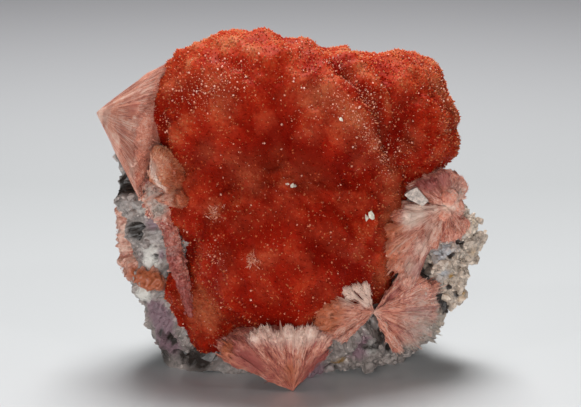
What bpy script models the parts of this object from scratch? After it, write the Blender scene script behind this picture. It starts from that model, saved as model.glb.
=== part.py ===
"""Inesite specimen: red domed crusts and pink fibre sprays grown on a quartz matrix.

Metres, +Z up. X runs to the viewer's right, Y away from the viewer. Places are laid out in
STEP units from a point on the table under the middle of the piece. The layout empty, which
carries all pieces, then brings the origin to the bottom centre of their common box.
"""

import bmesh
import bpy
import numpy as np
from mathutils import Vector

# Driving dimensions.
WIDTH = 0.062  # from the tip of the left spray to the right quartz knobs
LAYOUT_WIDTH = 62.0  # the same width in layout units
STEP = WIDTH / LAYOUT_WIDTH  # one layout unit, a millimetre at this width
GAP = 0.0004  # clear gap that grown-together pieces keep
WELD = 0.000002  # corners closer than this are one corner
FLAT = 0.004  # faces that meet at a smaller angle than this, in radians, are one face

# The crusts are clusters of balls that grew into each other: (x, y, z, radius), with the
# plane y = back behind which they sit on the matrix.
MAIN_CENTRE = (-1.0, -3.0, 31.0)
MAIN_BACK = 4.0
MAIN_BALLS = (
    (-10.2, -2.5, 42.2, 12.7),
    (5.0, -3.8, 41.0, 11.6),
    (-2.0, -4.0, 44.5, 9.6),
    (-3.0, -1.0, 33.0, 11.4),
    (0.2, -2.6, 21.6, 17.2),
    (9.5, -3.0, 31.0, 9.6),
    (-12.5, -3.5, 29.5, 8.0),
)
UPPER_RIGHT_CENTRE = (16.2, 1.0, 38.6)
UPPER_RIGHT_BACK = 8.0
UPPER_RIGHT_BALLS = (
    (15.4, 2.0, 39.0, 11.4),
    (11.5, 2.0, 42.3, 9.0),
    (19.2, 1.0, 37.0, 7.5),
    (17.6, 3.0, 43.6, 6.6),
)
LOWER_LEFT_CENTRE = (-15.0, -5.0, 10.8)
LOWER_LEFT_BACK = 1.0
LOWER_LEFT_BALLS = (
    (-14.6, -5.0, 11.6, 4.9),
    (-12.0, -5.6, 8.2, 4.6),
    (-16.6, -4.2, 14.2, 3.9),
)
KNOB_CENTRE = (25.2, 1.0, 16.5)
KNOB_BACK = 7.0
KNOB_BALLS = (
    (26.6, 0.5, 22.9, 3.7),
    (27.9, 1.0, 19.6, 3.4),
    (25.8, 0.5, 12.6, 3.0),
    (24.3, 0.0, 17.0, 5.0),
    (23.6, 0.0, 8.5, 3.6),
    (24.5, 2.5, 14.0, 4.6),
)
DRUSE_LUMPS = ((6.0, 0.45), (2.6, 0.22))  # wavelength and height of the lumps on the crusts
DRUSE_FACETS = 0.16  # how far single crystal tips stand out
KNOB_LUMPS = ((3.0, 0.35),)

# The matrix is a smooth surface through these points, broken into facets.
MATRIX_CENTRE = (0.0, 6.0, 24.0)
MATRIX_POINTS = (
    # down the left edge
    (-27.4, 2.0, 33.0), (-27.0, 2.0, 29.0), (-26.8, 2.0, 23.0), (-26.6, 1.5, 17.0),
    (-25.9, 1.0, 11.6), (-23.9, 1.0, 7.4), (-21.6, 1.0, 3.8), (-18.8, 2.0, 0.2),
    # the quartz beside and below the crusts
    (-22.5, -3.5, 27.0), (-21.8, -4.5, 20.0), (-19.0, -4.5, 9.0), (-13.0, -6.0, 3.5),
    (0.0, -8.0, 6.0), (8.0, -9.5, 2.8), (13.5, -8.0, 6.5), (20.0, -4.0, 8.0),
    # up the right edge
    (17.0, -3.0, 2.0), (23.4, -1.0, 5.8), (24.0, 0.0, 12.0), (22.5, -4.0, 18.0),
    (24.0, -1.0, 24.0), (24.0, 1.0, 31.0), (17.0, -5.0, 24.0), (17.0, -4.0, 14.0),
    # under the crusts
    (-12.0, 0.0, 42.0), (0.0, 0.0, 45.0), (12.0, 0.0, 42.0), (-14.0, -2.0, 30.0),
    (0.0, -2.0, 34.0), (12.0, -2.0, 32.0), (-12.0, -4.0, 18.0), (0.0, -3.0, 22.0),
    (10.0, -4.0, 22.0), (-4.0, -6.0, 11.0),
    # the broken back
    (-20.0, 11.0, 35.0), (-10.0, 12.5, 44.5), (0.0, 13.0, 43.0), (12.0, 12.5, 40.0),
    (20.5, 9.5, 30.0), (22.5, 9.5, 17.0), (14.0, 12.0, 4.0), (0.0, 13.5, 5.0),
    (-13.0, 12.5, 4.0), (-21.5, 9.5, 14.0), (-22.5, 10.0, 25.0), (0.0, 15.5, 24.0),
    (11.0, 14.5, 24.0), (-11.0, 15.0, 26.0), (0.0, 15.0, 34.0), (0.0, 14.5, 14.0),
    # the top and the underside
    (-9.0, 7.0, 49.0), (5.0, 7.5, 47.5), (-18.0, 6.0, 43.0), (17.0, 8.0, 44.0),
    (-12.0, 6.0, -1.5), (0.0, 6.0, -2.0), (11.0, 6.0, -1.5), (-2.0, -4.0, -1.0),
)
MATRIX_SPREAD = 9.0  # how sharply each point pulls the surface
ROCK_FACETS = 70  # broken faces all round
ROCK_LUMPS = ((7.0, 0.55), (3.4, 0.3))
LEDGES = ((0.35, 0.2, 1.0), 6.5, 1.5)  # way across the broken layers, their thickness, the step
PITS = (  # vugs in the matrix: place on its surface, and radius
    ((-25.0, -1.0, 30.5), 1.5),
    ((-23.3, -3.0, 23.2), 1.3),
    ((-18.5, -4.0, 6.0), 1.2),
    ((21.5, -4.0, 17.0), 2.0),
    ((16.0, -6.0, 5.0), 1.4),
    ((-6.0, 19.0, 30.0), 2.4),
    ((9.0, 17.0, 19.0), 1.9),
)
QUARTZ_POINTS = 18  # crystals scattered all round; those under the crusts are cut away

# A sheaf is a bundle of fibres from one apex: (apex, aim, facing, half angle across the fan,
# half angle through it, lengths at its counterclockwise edge, middle and clockwise edge).
LEFT_SHEAVES = (
    ((-30.7, 0.0, 41.5), (-18.0, -2.5, 38.6), (-0.2, -1.0, 0.2), 47.0, 40.0, (14.0, 15.5, 15.5)),
)
BOTTOM_SHEAVES = (
    ((0.4, -14.0, -0.2), (-2.0, -12.5, 12.0), (0.1, -1.0, 0.1), 46.0, 27.0, (15.5, 12.2, 9.6)),
)
LOWER_RIGHT_SHEAVES = (
    ((13.3, -9.6, 11.6), (6.2, -12.8, 13.4), (-0.2, -1.0, 0.1), 56.0, 25.0, (7.6, 9.6, 6.4)),
    ((12.9, -9.8, 11.5), (23.0, -4.6, 11.2), (0.35, -1.0, 0.0), 52.0, 25.0, (8.6, 11.6, 9.2)),
)
RIGHT_SHEAVES = (
    ((24.8, -4.6, 27.4), (16.6, -7.6, 23.4), (0.1, -1.0, 0.1), 36.0, 22.0, (13.4, 10.2, 8.6)),
    ((24.6, -4.4, 26.8), (22.4, -3.4, 33.0), (0.3, -1.0, 0.1), 44.0, 26.0, (7.2, 7.4, 5.0)),
    ((24.4, -4.6, 27.6), (25.6, -3.6, 21.0), (0.3, -1.0, 0.0), 46.0, 26.0, (5.2, 6.2, 5.4)),
)
UPPER_TUFT_SHEAVES = (
    ((-22.2, -5.8, 31.8), (-17.8, -10.2, 35.2), (-0.4, -1.0, 0.1), 40.0, 24.0, (6.6, 6.8, 6.4)),
)
LOWER_TUFT_SHEAVES = (
    ((-21.6, -6.6, 29.2), (-16.6, -10.8, 30.2), (-0.4, -1.0, 0.1), 14.0, 16.0, (6.4, 6.9, 6.4)),
)

SHEAF_RIDGE = 0.08  # how far every second ridge of a fan stands out, of its half angle
SHEAF_JAG = 0.07  # how uneven the ends of the fibres are, of their length

# Bands of fibres, as smooth paths: (x, y, z, half width, half depth).
SKIRT = (
    (-22.4, -4.6, 31.0, 0.8, 0.7), (-20.6, -6.6, 28.2, 2.0, 1.2), (-19.3, -7.6, 25.6, 1.5, 1.4),
    (-18.7, -8.0, 22.4, 1.0, 1.4), (-18.0, -8.4, 19.4, 0.9, 1.4), (-17.0, -8.8, 16.6, 0.8, 1.2),
    (-16.2, -9.0, 13.4, 0.6, 1.0), (-15.2, -9.2, 10.2, 0.4, 0.7),
)
RIM = (
    (-27.0, 0.6, 24.8, 0.9, 1.3), (-26.5, 0.2, 22.0, 1.1, 1.5), (-26.3, -0.1, 19.0, 1.15, 1.5),
    (-26.1, -0.6, 16.6, 1.15, 1.5), (-25.0, -2.0, 15.3, 1.0, 1.4), (-23.4, -3.6, 15.2, 0.8, 1.2),
    (-21.6, -5.0, 15.0, 0.7, 1.0), (-20.2, -5.8, 14.6, 0.5, 0.8),
)
RIM_BALL = ((-27.3, 0.8, 25.3), 1.05)
BAND_SIDES = 8
BAND_STEPS = 2
STRIATION = 0.07  # how far the rim's cross striations stand out, of its width

# Plain finishes: colour and roughness.
FINISHES = {
    "red_druse": ("#8A2413", 0.45),
    "deep_red_druse": ("#752F21", 0.45),
    "pink_fibre": ("#B07C6E", 0.5),
    "tan_fibre": ("#9A5B45", 0.55),
    "orange_fibre": ("#A86450", 0.55),
    "grey_quartz": ("#8F827C", 0.5),
    "cream_quartz": ("#A89584", 0.55),
}


def row(*values):
    return np.array(values, float) * STEP


def unit(vectors):
    return vectors / np.linalg.norm(vectors, axis=-1, keepdims=True)


def waves(points, length, seed, terms=12):
    """A smooth random field of unit size: cosines of one wavelength in random directions."""
    rng = np.random.default_rng(seed)
    ways = unit(rng.normal(size=(terms, 3)))
    phases = rng.uniform(0.0, 2.0 * np.pi, terms)
    turns = points @ ways.T * (2.0 * np.pi / length)
    return np.cos(turns + phases).sum(axis=1) / np.sqrt(terms / 2.0)


def even_directions(count, seed, scatter):
    """Directions spread evenly round a ball on a golden spiral, each moved a little."""
    rng = np.random.default_rng(seed)
    k = np.arange(count) + 0.5
    height = 1.0 - 2.0 * k / count
    turn = k * np.pi * (3.0 - np.sqrt(5.0))
    level = np.sqrt(1.0 - height**2)
    spiral = np.stack([level * np.cos(turn), level * np.sin(turn), height], axis=1)
    return unit(spiral + rng.normal(scale=scatter, size=spiral.shape))


def ball_reach(directions, start, balls, back, sharpness=14.0):
    """How far rays from start go before they leave the last ball or meet the plane y = back."""
    total = np.zeros(len(directions))
    for x, y, z, radius in balls:
        offset = row(x, y, z) - start
        along = directions @ offset
        inside = along**2 - offset @ offset + (radius * STEP) ** 2
        out = np.where(inside > 0.0, along + np.sqrt(np.maximum(inside, 0.0)), 0.0)
        total += np.maximum(out, 0.0) ** sharpness
    reach = total ** (1.0 / sharpness)
    plane = (back * STEP - start[1]) / np.maximum(directions[:, 1], 1e-3)
    return np.where(directions[:, 1] > 0.0, np.minimum(reach, plane), reach)


def facet_factor(directions, count, seed):
    """A ball with flat faces: the nearest of its face planes along each direction."""
    faces = even_directions(count, seed, 0.12)
    rng = np.random.default_rng(seed + 1)
    distance = rng.uniform(0.95, 1.02, count)
    return (distance / np.maximum(directions @ faces.T, 0.2)).min(axis=1)


def new_object(name, bm):
    bmesh.ops.recalc_face_normals(bm, faces=bm.faces[:])
    mesh = bpy.data.meshes.new(name)
    bm.to_mesh(mesh)
    bm.free()
    item = bpy.data.objects.new(name, mesh)
    bpy.context.scene.collection.objects.link(item)
    return item


def round_block(name, cells, centre, radius_of):
    """A cube cut into cells and blown up to a closed body, radius_of(directions) from centre."""
    bm = bmesh.new()
    bmesh.ops.create_cube(bm, size=2.0)
    bmesh.ops.subdivide_edges(bm, edges=bm.edges[:], cuts=cells - 1, use_grid_fill=True)
    bmesh.ops.triangulate(bm, faces=bm.faces[:])
    places = np.array([v.co for v in bm.verts])
    directions = unit(np.tan(places * np.pi / 4.0))
    placed = centre + directions * radius_of(directions)[:, None]
    for vertex, place in zip(bm.verts, placed):
        vertex.co = place
    return new_object(name, bm)


def crust(name, cells, centre, balls, back, seed):
    """A crust of radiating crystals: merged balls with lumps, rough with single tips."""
    start = row(*centre)

    def radius_of(directions):
        reach = ball_reach(directions, start, balls, back)
        points = start + directions * reach[:, None]
        front = directions[:, 1] * reach < (back * STEP - start[1]) * 0.95
        lumps = sum(
            high * STEP * waves(points, length * STEP, seed + k)
            for k, (length, high) in enumerate(DRUSE_LUMPS)
        )
        tips = np.random.default_rng(seed).normal(scale=DRUSE_FACETS * STEP, size=len(reach))
        return reach + np.where(front, lumps + tips, 0.0)

    return round_block(name, cells, start, radius_of)


def knobs(name, cells, seed):
    """Blunt quartz knobs: merged balls with broken flat faces."""
    start = row(*KNOB_CENTRE)

    def radius_of(directions):
        reach = ball_reach(directions, start, KNOB_BALLS, KNOB_BACK, sharpness=22.0)
        points = start + directions * reach[:, None]
        for k, (length, high) in enumerate(KNOB_LUMPS):
            reach = reach + high * STEP * waves(points, length * STEP, seed + k)
        return reach

    return round_block(name, cells, start, radius_of)


def matrix_radius(directions):
    """The radius of the matrix: a smooth fit through MATRIX_POINTS, broken into flat faces."""
    start = row(*MATRIX_CENTRE)
    offsets = np.array(MATRIX_POINTS) * STEP - start
    reaches = np.linalg.norm(offsets, axis=1)
    ways = offsets / reaches[:, None]
    pull = np.exp(MATRIX_SPREAD * (ways @ ways.T - 1.0))
    shares = np.linalg.solve(pull, reaches - reaches.mean())
    radius = reaches.mean() + np.exp(MATRIX_SPREAD * (directions @ ways.T - 1.0)) @ shares
    radius = radius * facet_factor(directions, ROCK_FACETS, seed=5)
    points = start + directions * radius[:, None]
    for k, (length, high) in enumerate(ROCK_LUMPS):
        radius = radius + high * STEP * waves(points, length * STEP, 60 + k)
    across, thick, step = LEDGES
    layer = points @ unit(np.array(across)) / (thick * STEP)
    return radius + step * STEP * (layer - np.floor(layer) - 0.5) * (directions[:, 1] > 0.2)


def on_matrix(direction):
    return row(*MATRIX_CENTRE) + direction * matrix_radius(direction[None, :])[0]


def loft(name, rings, first, last):
    """A closed body: a first point, rings of places round an axis, and a last point."""
    bm = bmesh.new()
    start = bm.verts.new(first)
    loops = [[bm.verts.new(place) for place in ring] for ring in rings]
    end = bm.verts.new(last)
    count = len(loops[0])
    for k in range(count):
        after = (k + 1) % count
        bm.faces.new((start, loops[0][after], loops[0][k]))
        for lower, upper in zip(loops, loops[1:]):
            bm.faces.new((lower[k], lower[after], upper[after], upper[k]))
        bm.faces.new((end, loops[-1][k], loops[-1][after]))
    bmesh.ops.triangulate(bm, faces=bm.faces[:])
    return new_object(name, bm)


def sheaf(name, apex, aim, facing, half_wide, half_deep, lengths, columns, seed):
    """Fibres from one apex: a flattened cone with ridged sides and a jagged, bulging end.

    Each place lies from the apex along axis + tan(half_wide) u across + tan(half_deep) v
    outward, with (u, v) on the unit circle for the side and shrinking to its middle for the
    end. Its length is the parabola over u through the three lengths.
    """
    apex = row(*apex)
    axis = unit(row(*aim) - apex)
    across = unit(np.cross(axis, np.array(facing)))
    outward = np.cross(across, axis)
    turn = np.arange(columns) * 2.0 * np.pi / columns
    rng = np.random.default_rng(seed)
    jag = rng.uniform(-SHEAF_JAG, SHEAF_JAG, columns)
    ridge = SHEAF_RIDGE * ((-1.0) ** np.arange(columns) + rng.uniform(-0.5, 0.5, columns))
    low, middle, high = lengths

    def ring(share, size):
        u = size * np.cos(turn) * (1.0 + ridge * share)
        v = size * np.sin(turn) * (1.0 + ridge * share)
        ways = unit(
            axis
            + np.tan(np.radians(half_wide)) * u[:, None] * across
            + np.tan(np.radians(half_deep)) * v[:, None] * outward
        )
        length = middle + 0.5 * (high - low) * u + (0.5 * (high + low) - middle) * u**2
        length = length * (1.0 + jag * size)
        return apex + ways * (share * length * STEP)[:, None]

    sides = [ring(share, 1.0) for share in (0.4, 0.75, 1.0)]
    end = [ring(1.0, 0.6)]
    return loft(name, sides + end, apex, apex + axis * middle * STEP)


def smooth_path(points, steps):
    """A curve through all the points (Catmull-Rom), with steps places on each stretch."""
    ends = [2 * points[0] - points[1], *points, 2 * points[-1] - points[-2]]
    t = (np.arange(steps) / steps)[:, None]
    places = [
        0.5 * (2 * b + (c - a) * t + (2 * a - 5 * b + 4 * c - d) * t**2
               + (3 * b - a - 3 * c + d) * t**3)
        for a, b, c, d in zip(ends, ends[1:], ends[2:], ends[3:])
    ]
    return np.vstack([*places, points[-1]])


def band(name, points, striation):
    """A band of fibres: oval rings along a path, each second one a little wider."""
    path = smooth_path([row(*place) for place in points], BAND_STEPS)
    places, wide, deep = path[:, :3], path[:, 3], path[:, 4]
    along = unit(np.gradient(places, axis=0))
    side = unit(np.cross(along, np.array([0.0, 1.0, 0.0])))
    front = np.cross(along, side)
    turn = (np.arange(BAND_SIDES) * 2.0 * np.pi / BAND_SIDES)[:, None]
    rings = []
    for k in range(1, len(path) - 1):
        swell = 1.0 + striation * (-1) ** k
        oval = np.cos(turn) * side[k] * wide[k] + np.sin(turn) * front[k] * deep[k]
        rings.append(places[k] + swell * oval)
    return loft(name, rings, places[0], places[-1])


def ball(name, centre, radius):
    bm = bmesh.new()
    bmesh.ops.create_icosphere(bm, subdivisions=2, radius=radius * STEP)
    bmesh.ops.translate(bm, verts=bm.verts[:], vec=Vector(centre))
    return new_object(name, bm)


def quartz_crystal(name, root, way, radius, length):
    """A six-sided quartz prism with a six-sided point, its root sunk in what it grew from."""
    way = unit(way)
    side = unit(np.cross(way, np.array([0.3, 0.2, 1.0])))
    front = np.cross(way, side)
    turn = np.arange(6) * np.pi / 3.0
    rim = (np.cos(turn)[:, None] * side + np.sin(turn)[:, None] * front) * radius
    levels = (-0.3, 0.6)
    rings = [root + rim + way * length * level for level in levels]
    return loft(name, rings, root + way * length * levels[0], root + way * length)


def boolean(item, other, operation):
    step = item.modifiers.new(operation.lower(), "BOOLEAN")
    step.operation = operation
    step.solver = "EXACT"
    step.object = other


def connected_parts(bm):
    """The corners of each connected part, the part with the most corners first."""
    waiting = set(bm.verts)
    parts = []
    while waiting:
        part = {waiting.pop()}
        edge = list(part)
        while edge:
            corner = edge.pop()
            for link in corner.link_edges:
                other = link.other_vert(corner)
                if other not in part:
                    part.add(other)
                    edge.append(other)
        waiting -= part
        parts.append(list(part))
    return sorted(parts, key=len, reverse=True)


def bake(item):
    """Turns the modifiers' result into the mesh, and keeps its largest connected part."""
    graph = bpy.context.evaluated_depsgraph_get()
    mesh = bpy.data.meshes.new_from_object(item.evaluated_get(graph))
    item.modifiers.clear()
    item.data = mesh
    bm = bmesh.new()
    bm.from_mesh(mesh)
    bmesh.ops.remove_doubles(bm, verts=bm.verts[:], dist=WELD)
    bmesh.ops.dissolve_degenerate(bm, edges=bm.edges[:], dist=WELD)
    bmesh.ops.dissolve_limit(
        bm, angle_limit=FLAT, verts=bm.verts[:], edges=bm.edges[:], use_dissolve_boundaries=False
    )
    bmesh.ops.triangulate(bm, faces=bm.faces[:])
    for part in connected_parts(bm)[1:]:
        bmesh.ops.delete(bm, geom=part, context="VERTS")
    bm.to_mesh(mesh)
    bm.free()


def guide(item):
    item.hide_render = True
    item.display_type = "WIRE"
    return item


def fuse(parts):
    """Joins the parts in the first one, as one closed body."""
    item, *others = parts
    for other in others:
        boolean(item, guide(other), "UNION")
    bake(item)
    for other in others:
        bpy.data.objects.remove(other)
    return item


def grown(item):
    """A guide of item's form, larger by the gap all round."""
    copy = bpy.data.objects.new(item.name + "_guide", item.data.copy())
    bpy.context.scene.collection.objects.link(copy)
    swell = copy.modifiers.new("swell", "DISPLACE")
    swell.strength = GAP
    swell.mid_level = 0.0
    return guide(copy)


def fans(name, sheaves, seed, columns=18):
    return [
        sheaf(f"{name}_{k}" if k else name, *values, columns, seed + k)
        for k, values in enumerate(sheaves)
    ]


def below_table():
    """Everything below the table's surface, for trimming the underside flat."""
    bm = bmesh.new()
    bmesh.ops.create_cube(bm, size=2.0 * WIDTH)
    bmesh.ops.translate(bm, verts=bm.verts[:], vec=(0.0, 0.0, -WIDTH))
    return guide(new_object("table_guide", bm))


def bottom_spray():
    return fans("bottom_spray", BOTTOM_SHEAVES, 31)


def upper_left_tuft():
    return fans("upper_left_tuft", UPPER_TUFT_SHEAVES, 41, columns=14)


def lower_left_tuft():
    return fans("lower_left_tuft", LOWER_TUFT_SHEAVES, 44, columns=12)


def lower_right_spray():
    return fans("lower_right_spray", LOWER_RIGHT_SHEAVES, 51)


def right_spray():
    return fans("right_spray", RIGHT_SHEAVES, 61, columns=14)


def left_spray():
    return [*fans("left_spray", LEFT_SHEAVES, 21), band("skirt", SKIRT, 0.0)]


def left_rim():
    centre, radius = RIM_BALL
    return [band("left_rim", RIM, STRIATION), ball("rim_ball", row(*centre), radius)]


def main_dome():
    return [crust("main_dome", 13, MAIN_CENTRE, MAIN_BALLS, MAIN_BACK, 1)]


def upper_right_dome():
    return [
        crust("upper_right_dome", 9, UPPER_RIGHT_CENTRE, UPPER_RIGHT_BALLS, UPPER_RIGHT_BACK, 7)
    ]


def lower_left_crust():
    return [crust("lower_left_crust", 5, LOWER_LEFT_CENTRE, LOWER_LEFT_BALLS, LOWER_LEFT_BACK, 13)]


def right_quartz_knobs():
    return [knobs("right_quartz_knobs", 7, 17)]


def quartz_matrix():
    """The rock: a faceted block with vugs, and small quartz crystals fused to it."""
    item = round_block("quartz_matrix", 11, row(*MATRIX_CENTRE), matrix_radius)
    pits = []
    for k, (place, radius) in enumerate(PITS):
        way = unit(row(*place) - row(*MATRIX_CENTRE))
        pits.append(guide(ball(f"pit_{k}", on_matrix(way), radius)))
        boolean(item, pits[-1], "DIFFERENCE")
    bake(item)
    for pit in pits:
        bpy.data.objects.remove(pit)
    rng = np.random.default_rng(90)
    crystals = []
    for k, way in enumerate(even_directions(QUARTZ_POINTS, seed=91, scatter=0.12)):
        lean = unit(way + rng.normal(scale=0.3, size=3))
        radius = rng.uniform(0.7, 1.3) * STEP
        length = radius * rng.uniform(1.5, 2.2)
        crystals.append(quartz_crystal(f"crystal_{k}", on_matrix(way), lean, radius, length))
    return [item, *crystals]


# Each piece with its finish, in the order in which they cut into each other: a piece keeps
# its own form where it meets a later one.
PIECES = (
    (bottom_spray, "pink_fibre"),
    (upper_left_tuft, "tan_fibre"),
    (lower_left_tuft, "tan_fibre"),
    (lower_right_spray, "pink_fibre"),
    (main_dome, "red_druse"),
    (right_spray, "pink_fibre"),
    (upper_right_dome, "red_druse"),
    (left_spray, "pink_fibre"),
    (lower_left_crust, "deep_red_druse"),
    (left_rim, "orange_fibre"),
    (right_quartz_knobs, "cream_quartz"),
    (quartz_matrix, "grey_quartz"),
)


def linear(hex_colour):
    """A colour written as sRGB hex, in linear light."""
    parts = [int(hex_colour[k : k + 2], 16) / 255.0 for k in (1, 3, 5)]
    return [c / 12.92 if c <= 0.04045 else ((c + 0.055) / 1.055) ** 2.4 for c in parts]


def finish(name):
    material = bpy.data.materials.get(name) or bpy.data.materials.new(name)
    material.use_nodes = True
    colour, roughness = FINISHES[name]
    shader = material.node_tree.nodes["Principled BSDF"]
    shader.inputs["Base Color"].default_value = (*linear(colour), 1.0)
    shader.inputs["Roughness"].default_value = roughness
    shader.inputs["Metallic"].default_value = 0.0
    return material


def centre_on_base(items):
    """Carries all pieces on an empty that puts the bottom centre of their box at the origin."""
    corners = np.array([v.co for item in items for v in item.data.vertices])
    low, high = corners.min(axis=0), corners.max(axis=0)
    layout = bpy.data.objects.new("layout", None)
    bpy.context.scene.collection.objects.link(layout)
    layout.location = (-(low[0] + high[0]) / 2.0, -(low[1] + high[1]) / 2.0, -low[2])
    for item in items:
        item.parent = layout


def build():
    for item in list(bpy.data.objects):
        bpy.data.objects.remove(item)
    cutters = [below_table()]
    pieces = []
    for make, colours in PIECES:
        parts = make()
        swollen = [grown(part) for part in parts]
        item = fuse(parts)
        for other in cutters:
            boolean(item, other, "DIFFERENCE")
        bake(item)
        item.data.materials.clear()
        item.data.materials.append(finish(colours))
        pieces.append(item)
        cutters.extend(swollen)
    for other in cutters:
        bpy.data.objects.remove(other)
    centre_on_base(pieces)


build()
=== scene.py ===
"""Inesite on quartz, dressed for a studio picture.

Red crusts of radiating inesite, sheaves of silky pink fibres and cream quartz knobs sit on a
broken quartz matrix. Every form is worked out in a layout of millimetres, the one that the
solids use, and one shift carries it to the frame. Random draws start from the seeds given at
each call, so every run is the same.
"""

import math

import bpy
import numpy as np
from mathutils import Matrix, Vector


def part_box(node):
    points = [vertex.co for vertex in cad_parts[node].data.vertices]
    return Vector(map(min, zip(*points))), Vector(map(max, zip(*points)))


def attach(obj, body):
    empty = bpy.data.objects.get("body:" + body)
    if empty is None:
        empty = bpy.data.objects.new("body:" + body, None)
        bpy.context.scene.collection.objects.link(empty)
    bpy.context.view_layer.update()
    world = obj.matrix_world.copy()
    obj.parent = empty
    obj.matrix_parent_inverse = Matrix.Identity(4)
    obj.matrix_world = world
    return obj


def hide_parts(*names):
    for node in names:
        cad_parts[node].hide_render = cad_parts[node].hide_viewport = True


bl_info = {
    "name": "Inesite specimen",
    "version": (1, 0, 0),
    "blender": (4, 5, 0),
    "location": "3D View > Sidebar > Inesite",
    "description": "Dresses an inesite specimen: red druse, pink fibre sheaves and quartz",
    "category": "Add Mesh",
}

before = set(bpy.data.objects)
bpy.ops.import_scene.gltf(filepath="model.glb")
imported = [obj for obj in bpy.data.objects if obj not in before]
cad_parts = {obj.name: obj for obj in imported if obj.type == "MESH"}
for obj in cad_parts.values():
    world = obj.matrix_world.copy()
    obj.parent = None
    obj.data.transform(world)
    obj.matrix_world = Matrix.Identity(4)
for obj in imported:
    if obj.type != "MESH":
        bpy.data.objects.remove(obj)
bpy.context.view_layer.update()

MM = 0.001

# The crusts are clusters of balls that grew into each other: (x, y, z, radius), with the
# plane y = back behind which they sit on the matrix.
MAIN_CENTRE = (-1.0, -3.0, 31.0)
MAIN_BACK = 4.0
MAIN_BALLS = (
    (-9.1, -2.5, 42.2, 12.5),
    (5.0, -3.8, 41.0, 11.6),
    (-3.0, -4.0, 44.9, 9.6),
    (-3.0, -1.0, 33.0, 11.4),
    (0.2, -2.6, 21.6, 17.2),
    (9.2, -3.0, 31.0, 8.8),
    (-12.5, -3.5, 29.5, 8.0),
)
UPPER_RIGHT_CENTRE = (16.2, 1.0, 38.6)
UPPER_RIGHT_BACK = 8.0
UPPER_RIGHT_BALLS = (
    (15.4, 2.0, 39.0, 11.0),
    (11.5, 2.0, 42.1, 8.5),
    (19.2, 1.0, 37.0, 7.1),
    (17.8, 3.0, 44.2, 6.6),
)
LOWER_LEFT_CENTRE = (-15.0, -5.0, 10.8)
LOWER_LEFT_BACK = 1.0
LOWER_LEFT_BALLS = (
    (-14.6, -5.0, 11.6, 4.9),
    (-12.0, -5.6, 8.2, 4.6),
    (-16.6, -4.2, 14.2, 3.9),
)
KNOB_CENTRE = (25.2, 1.0, 16.5)
KNOB_BACK = 7.0
KNOB_BALLS = (
    (26.9, 0.5, 22.7, 3.0),
    (28.0, 1.0, 19.4, 2.9),
    (25.6, 0.5, 12.4, 2.6),
    (24.3, 0.0, 17.0, 4.6),
    (22.6, 0.0, 8.8, 2.8),
    (24.2, 2.5, 14.0, 4.2),
)

# Lumps on surfaces: (wavelength, height) of each wave.
DRUSE_LUMPS = ((6.0, 0.32), (2.6, 0.14), (1.3, 0.09), (0.7, 0.05))
BACK_LUMPS = ((4.5, 0.5), (1.9, 0.25), (0.9, 0.12))
KNOB_LUMPS = ((3.0, 0.35), (1.4, 0.2), (0.7, 0.09))
ROUGH_LUMPS = ((2.6, 0.14), (1.2, 0.08), (0.6, 0.04))
SILKY_LUMPS = ((5.0, 0.12),)
SKIRT_LUMPS = ((2.6, 0.14), (1.3, 0.14), (0.7, 0.14))
RIM_LUMPS = ((2.0, 0.13), (1.0, 0.1), (0.6, 0.05))
RIM_STRIPES = ((1.1, 0.02), (0.5, 0.02))

# A crust is covered in rounded caps: (how many, radius, height).
MAIN_CAPS = (420, 1.45, 0.12)
UPPER_RIGHT_CAPS = (210, 1.35, 0.08)
LOWER_LEFT_CAPS = (50, 1.3, 0.22)

# A sheaf's sides have ridges and its end is jagged: (waves round it, height) of each.
RIDGES = ((5, 0.014), (11, 0.01), (23, 0.006), (47, 0.004), (71, 0.004))
JAGS = ((7, 0.02), (13, 0.02), (27, 0.02), (53, 0.015), (71, 0.012))
END_START = 0.86  # the share of its length past which needles stand on it
FIBRES_IN_BUNDLE = 14

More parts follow.
